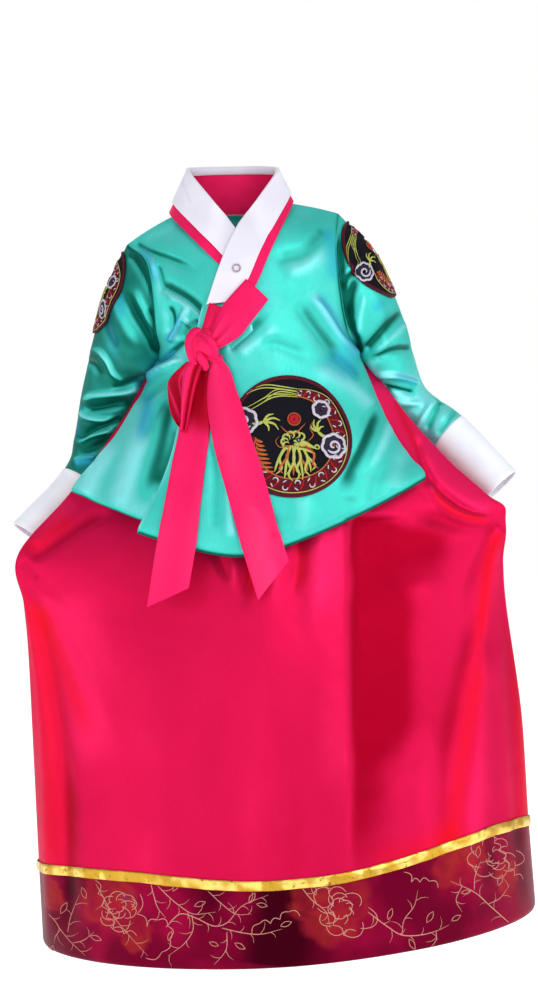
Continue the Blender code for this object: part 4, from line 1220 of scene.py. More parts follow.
def collar():
    stations = spread(0, len(COLLAR.rows) - 1, 190)
    band = collar_points(stations, edge_spread(18, 0.05)[::-1])
    puckers = 0.0002 * wander(band, 0.01, 51.0)
    # The colour is painted darker in the hollows of its puckers, as shade.
    shell("collar_band", raised(band, CLOTH + puckers, facing_out(band)), PINK_RIBBON, fold=1000 * puckers)
    shares = np.concatenate([STRIP_SHARE * edge_spread(16, 0.04)[::-1], [0.0, 0.0, 0.06, 0.14]])
    on_band = collar_points(stations, shares)
    flat = facing_out(collar_points(stations, spread(STRIP_SHARE, 0, len(shares))))
    height = np.full(len(shares), 2 * CLOTH + LAY)
    height[-4:] = (0.0016, -0.0004, -0.0016, -0.0017)
    outer = raised(on_band, height, flat)
    outer[:, -4:-2] += 0.0011 * unit(on_band[:, -3] - on_band[:, 8])[:, None]
    painted_crease = folds_at(in_view(outer), STRIP_CREASE_SHADE) + 0.25 * wander(outer, 0.03, 57.0)
    shell("collar_strip", outer, WHITE_COTTON, wall=0.001, fold=painted_crease)


def snap():
    """The snap's ring on the white strip: a rolled rim round a shallow dish."""
    profile = ((0.005, 0.0), (0.005, 0.0006), (0.0046, 0.0012), (0.004, 0.0013), (0.0035, 0.0009),
               (0.0033, 0.0003), (0.0036, -0.0003), (0.0046, -0.0003))
    radius, height = np.array(profile).T
    centre = on_front(*SNAP_CENTRE, 0.0108)
    out = on_front(*SNAP_CENTRE, 1.0) - on_front(*SNAP_CENTRE, 0.0)
    right = unit(np.cross(out, (0, 0, 1.0)))
    turn = 2 * np.pi * np.arange(48)[:, None] / 48
    away = np.cos(turn) * right + np.sin(turn) * np.cross(right, out)
    points = raised(raised(centre, radius, away[:, None]), height, out)
    turns, corners = points.shape[:2]
    number = np.arange(turns * corners).reshape(turns, corners)
    beside = np.roll(number, -1, axis=1)
    faces = np.stack([number, beside, np.roll(beside, -1, axis=0), np.roll(number, -1, axis=0)], axis=-1)
    mesh_piece("collar_snap_ring", ["collar_snap"], SNAP_RING, points, [faces.reshape(-1, 4)[:, ::-1]])


# The skirt.
FIRST_TURN = {"front": 0.0, "back": 0.5}  # where each half starts round the skirt


def even_round(first, count):
    """Turns round half of the skirt, from the corner at first, evenly spaced along its hem."""
    turns = spread(first, first + 0.5, 800)
    along = np.concatenate([[0], np.cumsum(np.linalg.norm(np.diff(skirt(turns, 6.5), axis=0), axis=-1))])
    return np.interp(along[-1] * edge_spread(count, 0.004), along, turns)


def skirt_height(points, around, which):
    folds = {"front": SKIRT_FOLDS, "back": SKIRT_BACK_FOLDS}[which]
    height = 0.001 * folds_at(in_view(points), folds)
    slight = 0.0012 * wander(points, 0.09, 61.0) + 0.0003 * wander(points, 0.02, 67.0)
    from_corner = np.minimum(np.abs(around % 0.5), 0.5 - np.abs(around % 0.5))
    return (height + slight) * eased(from_corner / 0.035)


def skirt_grid(which, rows, columns, ends_of):
    """A grid on the skirt's front or back. ends_of gives its first and last ring from the trim's ring."""
    around = even_round(FIRST_TURN[which], columns)[None, :]
    first, last = ends_of(TRIM_LINE.at(20 * (around - FIRST_TURN[which]))[which])
    around, ring = np.broadcast_arrays(around, first + (last - first) * spread(0, 1, rows)[:, None])
    base = skirt(around, ring) + np.array((0, GAP if which == "back" else -GAP, 0))
    base += corner_lift(around, ring)
    return around, base, skirt_height(base, around, which), facing_out(base)


def corner_lift(around, ring):
    """How far the top of each wing is drawn up under the arm, out of the plain skirt."""
    near_left = bump_at(around % 1, 0.5, 0.05) * bump_at(ring, 0.45, 0.55)
    to_right = np.minimum(around % 1, 1 - around % 1)
    near_right = bump_at(to_right, 0, 0.05) * bump_at(ring, 0.3, 0.5)
    shift = near_left[..., None] * np.array((0.004, 0, 0.008))
    shift = shift + near_right[..., None] * np.array((-0.003, 0, 0.003))
    tip = bump_at(around % 1, 0.5, 0.018) * bump_at(ring, 2.92, 0.16)
    return shift + tip[..., None] * np.array((0.006, 0, 0.003))


def skirt_cloth(which, rows, columns):
    _, base, height, out = skirt_grid(which, rows, columns, lambda trim: (0, trim + TRIM_LAP))
    seen = 1 if which == "front" else 0
    # Painted light and shade, seen from the front only: the table of lights and shades and the orange-red
    # painted sheen; on both halves the colour is also painted darker in the hollows of the folds and by their
    # tilt.
    shades = seen * folds_at(in_view(base), SKIRT_SHADES)
    shell("skirt_" + which, raised(base, CLOTH + height, out), SKIRT_SATIN,
          fold=1000 * height + shades + 2.0 * tilted_up(base, height),
          blue=seen * folds_at(in_view(base), SKIRT_GLOW))


def hem_band(which, rows, columns):
    around, base, height, out = skirt_grid(which, rows, columns, lambda trim: (trim + TRIM_LAP, HEM_ROW))
    down = lengths_along(base, 0)
    outer = raised(base, CLOTH + height + hem_roll(down[-1:] - down, 0.004, 0.0014), out)
    along = lengths_along(skirt(around[:1], 0 * around[:1] + 7.5), 1)
    # The colour is painted darker in the hollows of the folds and where the table of shades puts shade; the
    # flowers are print.
    shell("hem_band_" + which, outer, HEM_ORGANZA,
          fold=1000 * height + folds_at(in_view(base), HEM_SHADES), bloom=bloom(along, down, which))
    stitched_hem(outer, "hem_threads_" + which, which == "back")


def hem_trim(which, columns):
    """Thin gold ribbon, puckered along the stitching that holds it."""
    _, base, height, out = skirt_grid(which, 7, columns, lambda trim: (trim, trim + TRIM_WIDTH))
    across = spread(-1, 1, 7)[:, None]
    puckers = 0.0007 * wander(base, 0.006, 71.0) + 0.0005 * wander(base, 0.018, 73.0)
    crown = 0.0006 * (1 - across**2)
    outer = raised(base, 2 * CLOTH + 0.0006 + height + crown + puckers, out)
    outer[..., 2] += 0.0007 * wander(base, 0.03, 79.0) * np.abs(across)
    shell("hem_trim_" + which, outer, GOLD_RIBBON, wall=0.0008)


def chest_band():
    """The hidden band that the skirt hangs from."""
    around = spread(0, 1, 121)[None, :-1]
    height = spread(BAND_TOP, BAND_FOOT, 14)[:, None]
    around, height = np.broadcast_arrays(around, height)
    points = skirt(around, 0 * height)
    points[..., 2] = height
    edge = spread(0, 1, 14)[:, None] + 0 * around
    roll = hem_roll(edge * 0.05, 0.004, 0.0006) + hem_roll((1 - edge) * 0.05, 0.004, 0.0006)
    puckers = 0.0004 * wander(points, 0.015, 83.0)
    outer = raised(points, CLOTH + roll + puckers, facing_out(points, True))
    # The colour is painted darker in the hollows of its puckers, as shade.
    shell("skirt_band", outer, BAND_COTTON, closed=True, fold=1000 * puckers)


# The printed flowers of the hem band: each one's place in metres along the band's top from the wearer's right
# corner and in metres down from it, and its radius.


BLOOMS = {
    "front": ((0.158, 0.026, 0.038), (0.19, 0.062, 0.022), (0.062, 0.03, 0.02), (0.418, 0.03, 0.042),
              (0.578, 0.018, 0.034), (0.65, 0.056, 0.022)),
    "back": ((0.06, 0.04, 0.036), (0.15, 0.07, 0.034), (0.23, 0.024, 0.032), (0.33, 0.056, 0.042),
             (0.44, 0.03, 0.034), (0.53, 0.07, 0.034), (0.62, 0.03, 0.036), (0.71, 0.064, 0.03)),
}
PETALS = 9


def bloom(along, down, which):
    """How much of a printed flower covers each place of the hem band."""
    total = np.zeros_like(along)
    for number, (middle, depth, radius) in enumerate(BLOOMS[which]):
        right, low = along - middle, (down - depth) * 1.15
        far = np.hypot(right, low) / radius
        turn = np.arctan2(low, right) + 0.7 * number
        rim = 1 + 0.16 * np.abs(np.sin(PETALS * turn / 2)) + 0.1 * np.sin(3 * turn + number)
        body = 1 - eased((far / rim - 0.82) / 0.25)
        layers = 0.62 + 0.38 * np.abs(np.sin(5.2 * far / rim + 0.6 * np.sin(PETALS * turn / 2)))
        total = np.maximum(total, body * layers)
    return total


class Threads:
    """Flattened tubes of several colours, gathered into one piece."""

    def __init__(self):
        self.points, self.faces, self.places, self.colours = [], [], [], []
        self.count = 0

    def lay(self, line, out, half_width, half_height, colour, corners=6):
        """A tube along a line, as wide and high as given at each of its points."""
        along = unit(np.gradient(line, axis=0))
        side = unit(np.cross(along, out))
        turn = 2 * np.pi * np.arange(corners) / corners
        across = half_width[:, None] * np.cos(turn)
        ring = raised(line[:, None], across, side[:, None])
        ring = raised(ring, half_height[:, None] * np.sin(turn), np.cross(side, along)[:, None])
        faces = self.count + grid_faces(len(line), corners, True)
        self.points.append(ring.reshape(-1, 3))
        self.places.append(together(lengths_along(line, 0)[:, None], across, 0.0).reshape(-1, 3))
        self.faces.append(faces)
        self.colours += [list(THREADS).index(colour)] * len(faces)
        self.count += len(line) * corners

    def make_piece(self, name, slot):
        mesh_piece(name, [], (slot, *THREADS.values()), self.points, self.faces, np.concatenate(self.places),
                   colours=self.colours)


# The badges.


class Badge:
    """A round badge on a surface. Its places are shares of its radius, right and down from its centre."""

    def __init__(self, surface, centre, radius, top):
        self.radius = radius
        self.rings, self.spokes = 36, 144
        self.points, self.out = top(*self.walked(surface, centre))
        self.threads = Threads()

    def walked(self, surface, centre):
        """Spokes that walk out from the centre across the cloth."""
        step = 0.001
        turn = 2 * np.pi * spread(0, 1, self.spokes + 1)[:-1, None]
        across, down = (np.full(self.spokes, float(number)) for number in centre)
        right, low = slopes(surface, across, down, step)
        right = unit(right)
        low = np.cross(right, unit(np.cross(low, right)))
        heading = np.cos(turn) * right + np.sin(turn) * low
        walked = [(across, down)]
        for _ in range(self.rings):
            by_a, by_d = slopes(surface, across, down, step)
            aa, ad, dd = (by_a * by_a).sum(-1), (by_a * by_d).sum(-1), (by_d * by_d).sum(-1)
            ha, hd = (by_a * heading).sum(-1), (by_d * heading).sum(-1)
            area = aa * dd - ad * ad
            move_a, move_d = (ha * dd - hd * ad) / area, (hd * aa - ha * ad) / area
            travelled = by_a * move_a[:, None] + by_d * move_d[:, None]
            size = self.radius / self.rings / np.linalg.norm(travelled, axis=-1)
            across, down = across + move_a * size, down + move_d * size
            heading = unit(travelled)
            walked.append((across, down))
        return np.moveaxis(np.array(walked), 1, 0)

    def at(self, places):
        """Points and outward directions at places of the badge."""
        places = np.asarray(places, float)
        ring = np.clip(np.hypot(places[..., 0], places[..., 1]), 0, 1) * self.rings
        spoke = np.arctan2(places[..., 1], places[..., 0]) / (2 * np.pi) % 1 * self.spokes
        low, left = np.minimum(ring.astype(int), self.rings - 1), spoke.astype(int) % self.spokes
        right = (left + 1) % self.spokes
        by_ring, by_spoke = (ring - low)[..., None], (spoke - spoke.astype(int))[..., None]
        found = []
        for grid in (self.points, self.out):
            near = grid[low, left] + (grid[low, right] - grid[low, left]) * by_spoke
            far = grid[low + 1, left] + (grid[low + 1, right] - grid[low + 1, left]) * by_spoke
            found.append(near + (far - near) * by_ring)
        return found

    def stitch(self, colour, path, width, start, end, rise=0.0004, thick=0.0004, smoothly=True):
        """A raised line of stitches. Widths are shares of the radius."""
        path = np.array(path, float)
        count = max(6, int(4 + 34 * np.linalg.norm(np.diff(path, axis=0), axis=1).sum()))
        line = line_through(path, count) if smoothly else path
        share = spread(0, 1, len(line))
        grown = np.minimum((share + 0.02) / max(start, 0.02), (1.02 - share) / max(end, 0.02))
        points, out = self.at(line)
        half = 0.5 * width * self.radius * np.sqrt(np.clip(grown, 0, 1))
        self.threads.lay(points + rise * out, out, half, np.minimum(thick, 0.6 * half + 0.00008), colour)


def circled(x, y, reach, turn, squash=1):
    """Points at a reach and a turn round a middle."""
    return together(x + reach * np.cos(turn), y + squash * reach * np.sin(turn))


def arc(x, y, size, first, last):
    return circled(x, y, size, np.radians(spread(first, last, 12)))


BODY_PATH = (
    (0.14, -0.7), (0.38, -0.64), (0.6, -0.5), (0.74, -0.22), (0.79, 0.1), (0.7, 0.42), (0.48, 0.67),
    (0.16, 0.8), (-0.18, 0.79), (-0.46, 0.65), (-0.64, 0.4), (-0.68, 0.12), (-0.58, -0.06),
)


def beside_line(line, away):
    """A line moved sideways, to the left of its way for a positive distance."""
    return raised(line, away, unit(np.gradient(line, axis=0))[:, ::-1] * (1, -1))


def sew_dragon(badge):
    """A coiled dragon after a pearl, among clouds: a court badge's customary motif in its simplest lines."""
    line = line_through(BODY_PATH, 150)
    share = spread(0, 1, 150)
    girth = 0.104 * (0.55 + 0.45 * eased(share / 0.18)) * (1 - 0.55 * eased((share - 0.84) / 0.16))
    for lane in (-0.66, -0.22, 0.22, 0.66):
        badge.stitch("crimson", beside_line(line, lane * girth)[::3], 0.058, 0.08, 0.05)
    for side, colour, width in ((1.1, "lime", 0.02), (0.98, "crimson", 0.02), (-1.06, "orange", 0.026)):
        badge.stitch(colour, beside_line(line, side * girth)[::3], width, 0.05, 0.05, 0.0008)
    for number in range(38):
        middle = 3 + int(number * 141 / 38)
        near = line[middle : middle + 4]
        wide = girth[middle]
        if number % 2:
            scale = wide * np.array((-0.8, -0.2, 0.3, 0.8))
            badge.stitch("red", beside_line(near, scale), 0.03, 0.3, 0.3, 0.001)
        else:
            side = 1 if number % 4 else -1
            first = 97 * number % 360
            hook = arc(*beside_line(near[:2], 0.36 * side * wide)[0], 0.4 * wide, first, first + 230)
            badge.stitch("silver", hook, 0.024, 0.3, 0.3, 0.0012)
            dash = beside_line(near[:3], wide * np.array((-0.8, -0.55, -0.35)) * side)
            badge.stitch("silver", dash, 0.024, 0.3, 0.3, 0.0012)
    sew_tail_and_clouds(badge)
    sew_head_and_pearl(badge)


def cloud(badge, x, y, size, start, hand):
    """A scrolled cloud: a lobed outline over a dark middle, and the scroll inside it."""
    badge.stitch("navy", arc(x, y, 0.55 * size, 0, 360), 1.0 * size, 0.02, 0.02, 0.001)
    turn = start + 2 * np.pi * spread(0, 1, 43)
    reach = size * (0.93 + 0.11 * np.abs(np.sin(3.5 * (turn - start))))
    badge.stitch("silver", circled(x, y, reach, turn), 0.052, 0.02, 0.02, 0.0014)
    if size > 0.15:
        share = spread(0, 1, 16)
        scroll = circled(x, y, 0.66 * size * (1 - 0.82 * share), start + hand * 2 * np.pi * 1.2 * share)
        badge.stitch("silver", scroll, 0.044, 0.1, 0.3, 0.0015)


def claw(badge, x, y, size, first, arm):
    """Three long hooked talons and a spur on a wrist, at the end of an arm."""
    elbow = (0.5 * (arm[0] + x), 0.5 * (arm[1] + y) + 0.02)
    badge.stitch("lime", (arm, elbow, (x, y)), 0.056, 0.2, 0.2, 0.001)
    for number, reach in enumerate((0.85, 1.1, 1.15, 0.75)):
        turn = math.radians(first + 33 * number)
        talon = ((x, y), circled(x, y, 0.6 * reach * size, turn), circled(x, y, reach * size, turn + 0.3))
        badge.stitch("lime", talon, 0.042, 0.1, 0.7, 0.0011)


def sew_tail_and_clouds(badge):
    share = spread(0, 1, 10)
    for number in range(6):
        reach = 0.52 + 0.2 * math.sin(1.7 * number + 0.4)
        x = 0.19 - 0.03 * (number % 2) - (0.19 + reach) * share
        low = -0.75 + 0.026 * number
        sway = 0.03 * np.sin(2 * np.pi * (1.15 * share + 0.07 * number)) * share
        y = low - 0.1 * np.sin(np.pi * 0.8 * share) + (0.015 + 0.042 * number) * share**1.4 + sway
        badge.stitch("lime", together(x, y), 0.023, 0.3, 0.6, 0.0008)
    cloud(badge, 0.52, -0.4, 0.135, 0.4, 1)
    cloud(badge, 0.66, 0.21, 0.19, 2.6, -1)
    cloud(badge, -0.72, -0.3, 0.2, 0.8, 1)
    for number in range(8):
        low = 0.04 + 0.07 * number
        fin = ((-0.46 + 0.02 * number, low + 0.03), (-0.54, low), (-0.58, low - 0.06))
        badge.stitch("orange", fin, 0.05, 0.3, 0.6, 0.0009)
    claw(badge, -0.42, -0.26, 0.24, -48, (-0.6, -0.24))
    claw(badge, 0.42, -0.04, 0.18, -150, (0.56, 0.06))


def sew_head_and_pearl(badge):
    for number in range(15):
        side = (number - 7) / 7
        reach = 0.24 + 0.3 * (1 - 0.5 * side * side) + 0.05 * math.sin(2.9 * number)
        sway = 0.045 * math.sin(2.1 * number)
        strand = (
            (0.04 + 0.15 * side, 0.16),
            (0.03 + 0.25 * side - sway, 0.16 + 0.42 * reach),
            (0.02 + 0.31 * side + sway, 0.16 + 0.8 * reach),
            (0.01 + 0.33 * side - 0.8 * sway, 0.16 + reach),
        )
        colour = "orange" if number % 4 == 2 else "lime"
        badge.stitch(colour, strand, 0.043, 0.1, 0.5, 0.0009 + 0.0002 * (number % 3))
    for number in range(6):
        tuft = circled(0.03, 0.1, 0.15, math.radians(150 + 34 * number), 0.11 / 0.15)
        badge.stitch("lime", arc(*tuft, 0.055, 34 * number + 60, 34 * number + 330), 0.034, 0.1, 0.4, 0.0014)
    for low, reach, width in ((0.09, 0.3, 0.06), (0.14, 0.37, 0.05), (0.21, 0.32, 0.044)):
        jaw = ((0.02, low), (0.02 + 0.5 * reach, low + 0.03), (0.02 + reach, low + 0.11))
        badge.stitch("lime", jaw, width, 0.2, 0.4, 0.0013)
    badge.stitch("lime", arc(0.38, 0.22, 0.036, 150, 440), 0.03, 0.1, 0.3, 0.0015)
    badge.stitch("red", ((0.1, 0.2), (0.22, 0.22), (0.3, 0.28)), 0.026, 0.3, 0.6, 0.0017)
    badge.stitch("navy", arc(0.1, 0.085, 0.026, 0, 360), 0.028, 0.02, 0.02, 0.0019)
    badge.stitch("silver", arc(0.1, 0.085, 0.006, 0, 360), 0.018, 0.02, 0.02, 0.0021)
    for tip in ((-0.16, -0.16), (0.24, -0.18)):
        horn = ((0.03, -0.01), (0.5 * (0.03 + tip[0]) - 0.02, -0.07), tip)
        badge.stitch("orange", horn, 0.026, 0.2, 0.7, 0.0015)
    for whisker in (((0.24, 0.12), (0.34, 0.02), (0.3, -0.1), (0.36, -0.2)),
                    ((-0.04, 0.16), (-0.2, 0.18), (-0.26, 0.08), (-0.2, 0.0))):
        badge.stitch("orange", whisker, 0.018, 0.2, 0.7, 0.0016)
    badge.stitch("red", arc(0.065, -0.26, 0.05, 0, 360), 0.085, 0.02, 0.02, 0.001, thick=0.0006)
    badge.stitch("orange", arc(0.065, -0.26, 0.1, 0, 360), 0.018, 0.02, 0.02, 0.0012)


def on_over_front(across, down):
    """Points on top of the over front, with its folds."""
    base = lifted(front, across, down, OVERLAP * (1 - np.abs(across) ** 3))
    out = out_of(front, across, down)
    return raised(base, CLOTH + over_height(base), out), out


def on_sleeve(surface, folds, start):
    def top(around, ring):
        base, out = surface(around, ring), out_of(surface, around, ring)
        return raised(base, CLOTH + arm_height(base, out, folds, start, around, ring), out), out
    return top


def sew_badge(name, surface, centre, radius, top):
    """A badge's stiff navy ground, its stitched edge and its motif."""
    badge = Badge(surface, centre, radius, top)
    share = np.concatenate([spread(0.02, 0.9, 22), (0.93, 0.965, 0.99, 1.0)])[:, None]
    points, out = badge.at(circled(0, 0, share, -2 * np.pi * spread(0, 1, 97)[:-1]))
    dome = 0.0004 * bump_at(share, 0.955, 0.03) - 0.0004 * (share > 0.995)
    shell(name, raised(points, BADGE_RISE + dome, out), BADGE_CLOTH, closed=True, wall=0.0011)
    badge.points = badge.points + BADGE_RISE * badge.out
    for reach in (0.953, 0.982):
        edge = circled(0, 0, reach, 2 * np.pi * spread(0, 1, 145))
        badge.stitch("maroon", edge, 0.04, 0.01, 0.01, 0.0004, 0.0008, smoothly=False)
    sew_dragon(badge)
    badge.threads.make_piece(name + "_threads", "navy_badge")


# The tie. Each stretch of ribbon is drawn on the front view by its left and right edge, in squares, with its
# height over the jacket in millimetres.


def stretch(*rows):
    rows = np.array(rows, float)
    lift = 0.001 * rows[:, 4]
    left_x, left_z = seen_at(rows[:, 0:2], lift)
    right_x, right_z = seen_at(rows[:, 2:4], lift)
    table = np.stack([left_x, left_z, right_x, right_z, lift], axis=1)
    return Sections("left_x left_z right_x right_z lift", *table)


STRAP_LONG = stretch(
    (245.8, 279.2, 268.3, 300, 11),
    (236, 290, 258.5, 312.5, 11),
    (227, 300, 248.5, 325, 11.2),
    (220, 310, 240.5, 335, 11.6),
    (216, 321, 231, 342, 12.4),
    (211, 333, 219, 349, 13.5),
    (206, 342, 212, 353, 14.5),
)
STRAP_SHORT = stretch(
    (209.3, 303.5, 224, 308, 8.6),
    (205.5, 316, 221, 319, 9.2),
    (202, 328, 215, 331, 10.5),
    (198, 339, 210, 343, 12.5),
)
TAIL_LONG = stretch(
    (212, 357, 220.5, 356, 13),
    (210, 369, 230, 370, 10),
    (207.6, 389, 236, 389, 8),
    (208, 410, 242.5, 408, 7.5),
    (213, 441, 251.5, 438, 7.3),
    (222, 473, 261, 467, 7.2),
    (231, 508, 269.5, 497, 7.2),
    (240.5, 543, 277.5, 526, 7.4),
    (258, 600, 288.5, 561, 7.6),
)
TAIL_SHORT = stretch(
    (196, 362, 208, 364, 7),
    (188, 390, 210, 392, 5),
    (180, 430, 209.5, 429, 4.5),
    (173, 462, 205.5, 465, 4.5),
    (164.5, 508, 200.5, 506, 4.5),
    (157.5, 544, 196.5, 543, 4.5),
    (147.5, 607, 189, 588, 4.8),
)
LOOP = stretch(
    (191, 359, 205, 363, 16),
    (184, 371, 200, 373, 18.5),
    (182.5, 389, 194.5, 392, 18),
    (181.5, 408, 190.5, 412, 15.5),
    (180, 427, 186, 432, 12),
    (171, 414, 184, 422, 9),
    (167.5, 396, 184, 402, 8.6),
    (168.5, 380, 186, 383, 8.8),
    (187, 362, 197, 364, 11),
)


def on_jacket(x, z, lift, settled):
    """Points of the front view laid over the jacket's front, following its folds as far as they settle."""
    u, v = under(x, z)
    base = lifted(front, u, v, OVERLAP * (1 - np.abs(u) ** 3))
    height = over_height(base) * settled
    return lifted(front, u, v, np.asarray(lift) + height)


def ribbon_grid(table, rows, columns, settled, end_cut=0.0):
    """A stretch of ribbon between the two edges of its table, with the share along and across it."""
    along = spread(0, 1, rows)[:, None]
    across = edge_spread(columns, 0.03)[None, :]
    place = (len(table.rows) - 1) * np.clip(along + end_cut * (across - 0.5) * along**12, 0, 1)
    size = table.at(place)
    x = size["left_x"] + (size["right_x"] - size["left_x"]) * across
    z = size["left_z"] + (size["right_z"] - size["left_z"]) * across
    return on_jacket(x, z, size["lift"], settled), along, across


def ribbon(name, table, rows, columns, relief, start, settled=1.0, shade=0.0, loop_shadow=0.0):
    """A ribbon piece. relief gives its own height in metres from the shares along and across it."""
    base, along, across = ribbon_grid(table, rows, columns, settled)
    height = relief(along, across) + 0.0004 * (1 + wander(base, 0.022, start))
    edge = np.minimum(across, 1 - across)
    rolled = -0.0006 * np.clip(1 - edge / 0.06, 0, 1) ** 1.5
    # Painted shade: darker in the hollows of the relief and at the rolled edges, by shade all over, and at
    # the top where the loop casts its painted shadow.
    fold = 1000 * (relief(along, across) + 0.3 * rolled) + shade + 0 * height
    fold = fold - loop_shadow * (1 - eased((along - 0.18 - 0.1 * across) / 0.18))
    shell(name, raised(base, CLOTH + height + rolled, facing_out(base)), PINK_RIBBON, fold=fold)


def strap_long_relief(along, across):
    """Flat where it is sewn on, and drawn into pleats towards the knot."""
    drawn = eased((along - 0.25) / 0.75)
    pleats = 0.002 * bump_at(across, 0.24, 0.1) - 0.0016 * bump_at(across, 0.45, 0.08)
    pleats = pleats + 0.0018 * bump_at(across, 0.66, 0.1) - 0.0012 * bump_at(across, 0.86, 0.06)
    crown = 0.0016 * np.sin(np.pi * across) ** 0.7
    return drawn * pleats + crown * (0.3 + drawn)


def strap_short_relief(along, across):
    return (0.2 + along) * (0.0012 * np.sin(np.pi * across) - 0.0012 * bump_at(across, 0.55, 0.12))


def tail_long_relief(along, across):
    """Drawn in at the knot, then flat, with a slack hollow down one side and a lifted foot."""
    drawn = 1 - eased(along / 0.22)
    pleats = drawn * (0.0018 * bump_at(across, 0.3, 0.12) - 0.0014 * bump_at(across, 0.6, 0.12))
    slack = 0.0009 * np.sin(2 * np.pi * (across - 0.1)) * eased(along / 0.3)
    waves = 0.0008 * np.sin(2 * np.pi * (2.3 * along + 0.3 * across)) * eased((along - 0.3) / 0.4)
    return pleats + slack + waves + 0.0016 + 0.001 * along**3


def tail_short_relief(along, across):
    drawn = 1 - eased(along / 0.3)
    pleats = drawn * (0.0016 * bump_at(across, 0.35, 0.1) - 0.0014 * bump_at(across, 0.62, 0.12))
    slack = 0.0007 * np.sin(2 * np.pi * (across + 0.25)) + 0.0006 * np.sin(2 * np.pi * 1.6 * along)
    return pleats + slack * eased(along / 0.3) + 0.0014


def loop():
    """The bow's loop: its front layer stands off, and the layer behind shows its shaded inner side."""
    base, along, across = ribbon_grid(LOOP, 130, 30, 0.6)
    front_layer = 1 - eased((along - 0.46) / 0.1)
    pleats = 0.0022 * bump_at(across, 0.22, 0.14) - 0.003 * bump_at(across, 0.58, 0.16)
    pleats = pleats + 0.0016 * bump_at(across, 0.86, 0.08)
    inner = 0.0012 * np.sin(2 * np.pi * (1.4 * across + 2.2 * along))
    height = front_layer * pleats * eased((along + 0.05) / 0.2) - (1 - front_layer) * inner
    # Painted light and shade: the inner side of the layer behind is painted dark, with lighter painted lines
    # along its creases, and the front layer is painted darker in its hollows and across its right part.
    creases = np.clip(np.sin(2 * np.pi * (1.5 * across + 5.0 * along)), 0, 1) ** 5
    shade = (1 - front_layer) * (-4.6 + 5.0 * creases) + 1000 * front_layer * pleats
    shade = shade - 4.5 * front_layer * eased((across - 0.4) / 0.2)
    shell("tie_loop", raised(base, CLOTH + height, facing_out(base)), PINK_RIBBON, fold=shade)


KNOT_LOBES = (
    # a path in squares of the front view, with its height over the jacket in millimetres, its half width in
    # squares and its half thickness in millimetres
    ((209, 329, 13, 6, 3), (206, 337, 16, 9, 5), (204, 345, 17, 11, 6), (203, 354, 16, 10, 5),
     (203, 364, 12, 6, 3)),
    ((203, 332, 15, 3, 2), (196, 333, 18, 6, 4), (191.5, 341, 19, 7, 5), (192, 351, 18.5, 7, 5),
     (194, 360, 16.5, 5, 4), (200, 366, 13, 3, 2.5)),
    ((196, 335, 19, 3, 2), (203, 339, 23, 7, 4), (209, 346, 24, 8.5, 5), (213, 353, 22, 7, 4.5),
     (215, 361, 17, 4, 2.5)),
    ((209, 352, 17, 3, 2), (213, 356, 17.5, 5, 3), (218, 358, 16, 5, 3), (222, 356, 13.5, 2.5, 2)),
    ((199, 350, 20.5, 3, 2), (201, 356, 20.5, 4.5, 3), (204, 363, 18, 4.5, 3), (206, 371, 14.5, 3.5, 2)),
)


def knot():
    """The knot: the ribbon's wraps, drawn tight, each gathered lengthwise."""
    points, faces, places, marks = [], [], [], []
    rings, corners = 34, 30
    turn = 2 * np.pi * np.arange(corners) / corners
    for number, lobe in enumerate(KNOT_LOBES):
        line = line_through(lobe, rings)
        lift = 0.001 * line[:, 2]
        x, z = seen_at(line[:, :2], lift)
        middle = on_front(x, z, lift)
        out = unit(on_front(x, z, lift + 0.001) - middle)
        along = unit(np.gradient(middle, axis=0))
        side = np.cross(along, out)
        gathered = 1 + 0.06 * np.cos(4 * turn + 1.3 * number) + 0.035 * np.cos(7 * turn + number)
        closing = np.sqrt(np.clip(np.sin(np.pi * spread(0.012, 0.988, rings)) * 3.2, 0, 1))
        width = (SQUARE * line[:, 3] * closing)[:, None] * (np.cos(turn) * gathered)
        height = (0.001 * line[:, 4] * closing)[:, None] * (np.sin(turn) * gathered)
        ring = raised(raised(middle[:, None], width, side[:, None]), height, np.cross(side, along)[:, None])
        points.append(ring.reshape(-1, 3))
        faces.append(number * rings * corners + grid_faces(rings, corners, True))
        # Painted shade: darker in the gathers and on the underside of each wrap.
        depth = 26 * (gathered - 1.02) - 2.5 * np.clip(0.35 - np.sin(turn), 0, 1.3)
        marks.append(np.broadcast_to(depth, (rings, corners)).reshape(-1))
        places.append(together(0.01 * turn, lengths_along(ring, 0), 0.0).reshape(-1, 3))
    mesh_piece("tie_knot_cloth", ["tie_knot"], PINK_RIBBON, points, faces, np.concatenate(places),
               {"fold": np.concatenate(marks)})


# Stitched lines over the hem band, each drawn on the front view: its width in millimetres and its path.


def seen_on(grid, spots, behind):
    """Points of a grid and the ways out of it, at spots of the front view. One behind is seen through."""
    view = in_view(grid * np.array((1, -1, 1)) if behind else grid)
    out = facing_out(grid)
    rows, columns = view.shape[:2]
    by_row, by_column = np.gradient(view, axis=0), np.gradient(view, axis=1)
    found, facing = [], []
    for spot in np.asarray(spots, float):
        off = spot - view
        row, column = np.unravel_index(np.argmin((off**2).sum(-1)), (rows, columns))
        row, column = min(max(row, 1), rows - 2), min(max(column, 1), columns - 2)
        matrix = np.stack([by_row[row, column], by_column[row, column]], axis=1)
        down, right = np.clip(np.linalg.solve(matrix, spot - view[row, column]), -1, 1)
        near = grid[row, column]
        near = near + down * (grid[row + 1, column] - grid[row - 1, column]) / 2
        near = near + right * (grid[row, column + 1] - grid[row, column - 1]) / 2
        found.append(near)
        facing.append(out[row, column])
    return np.array(found), np.array(facing)


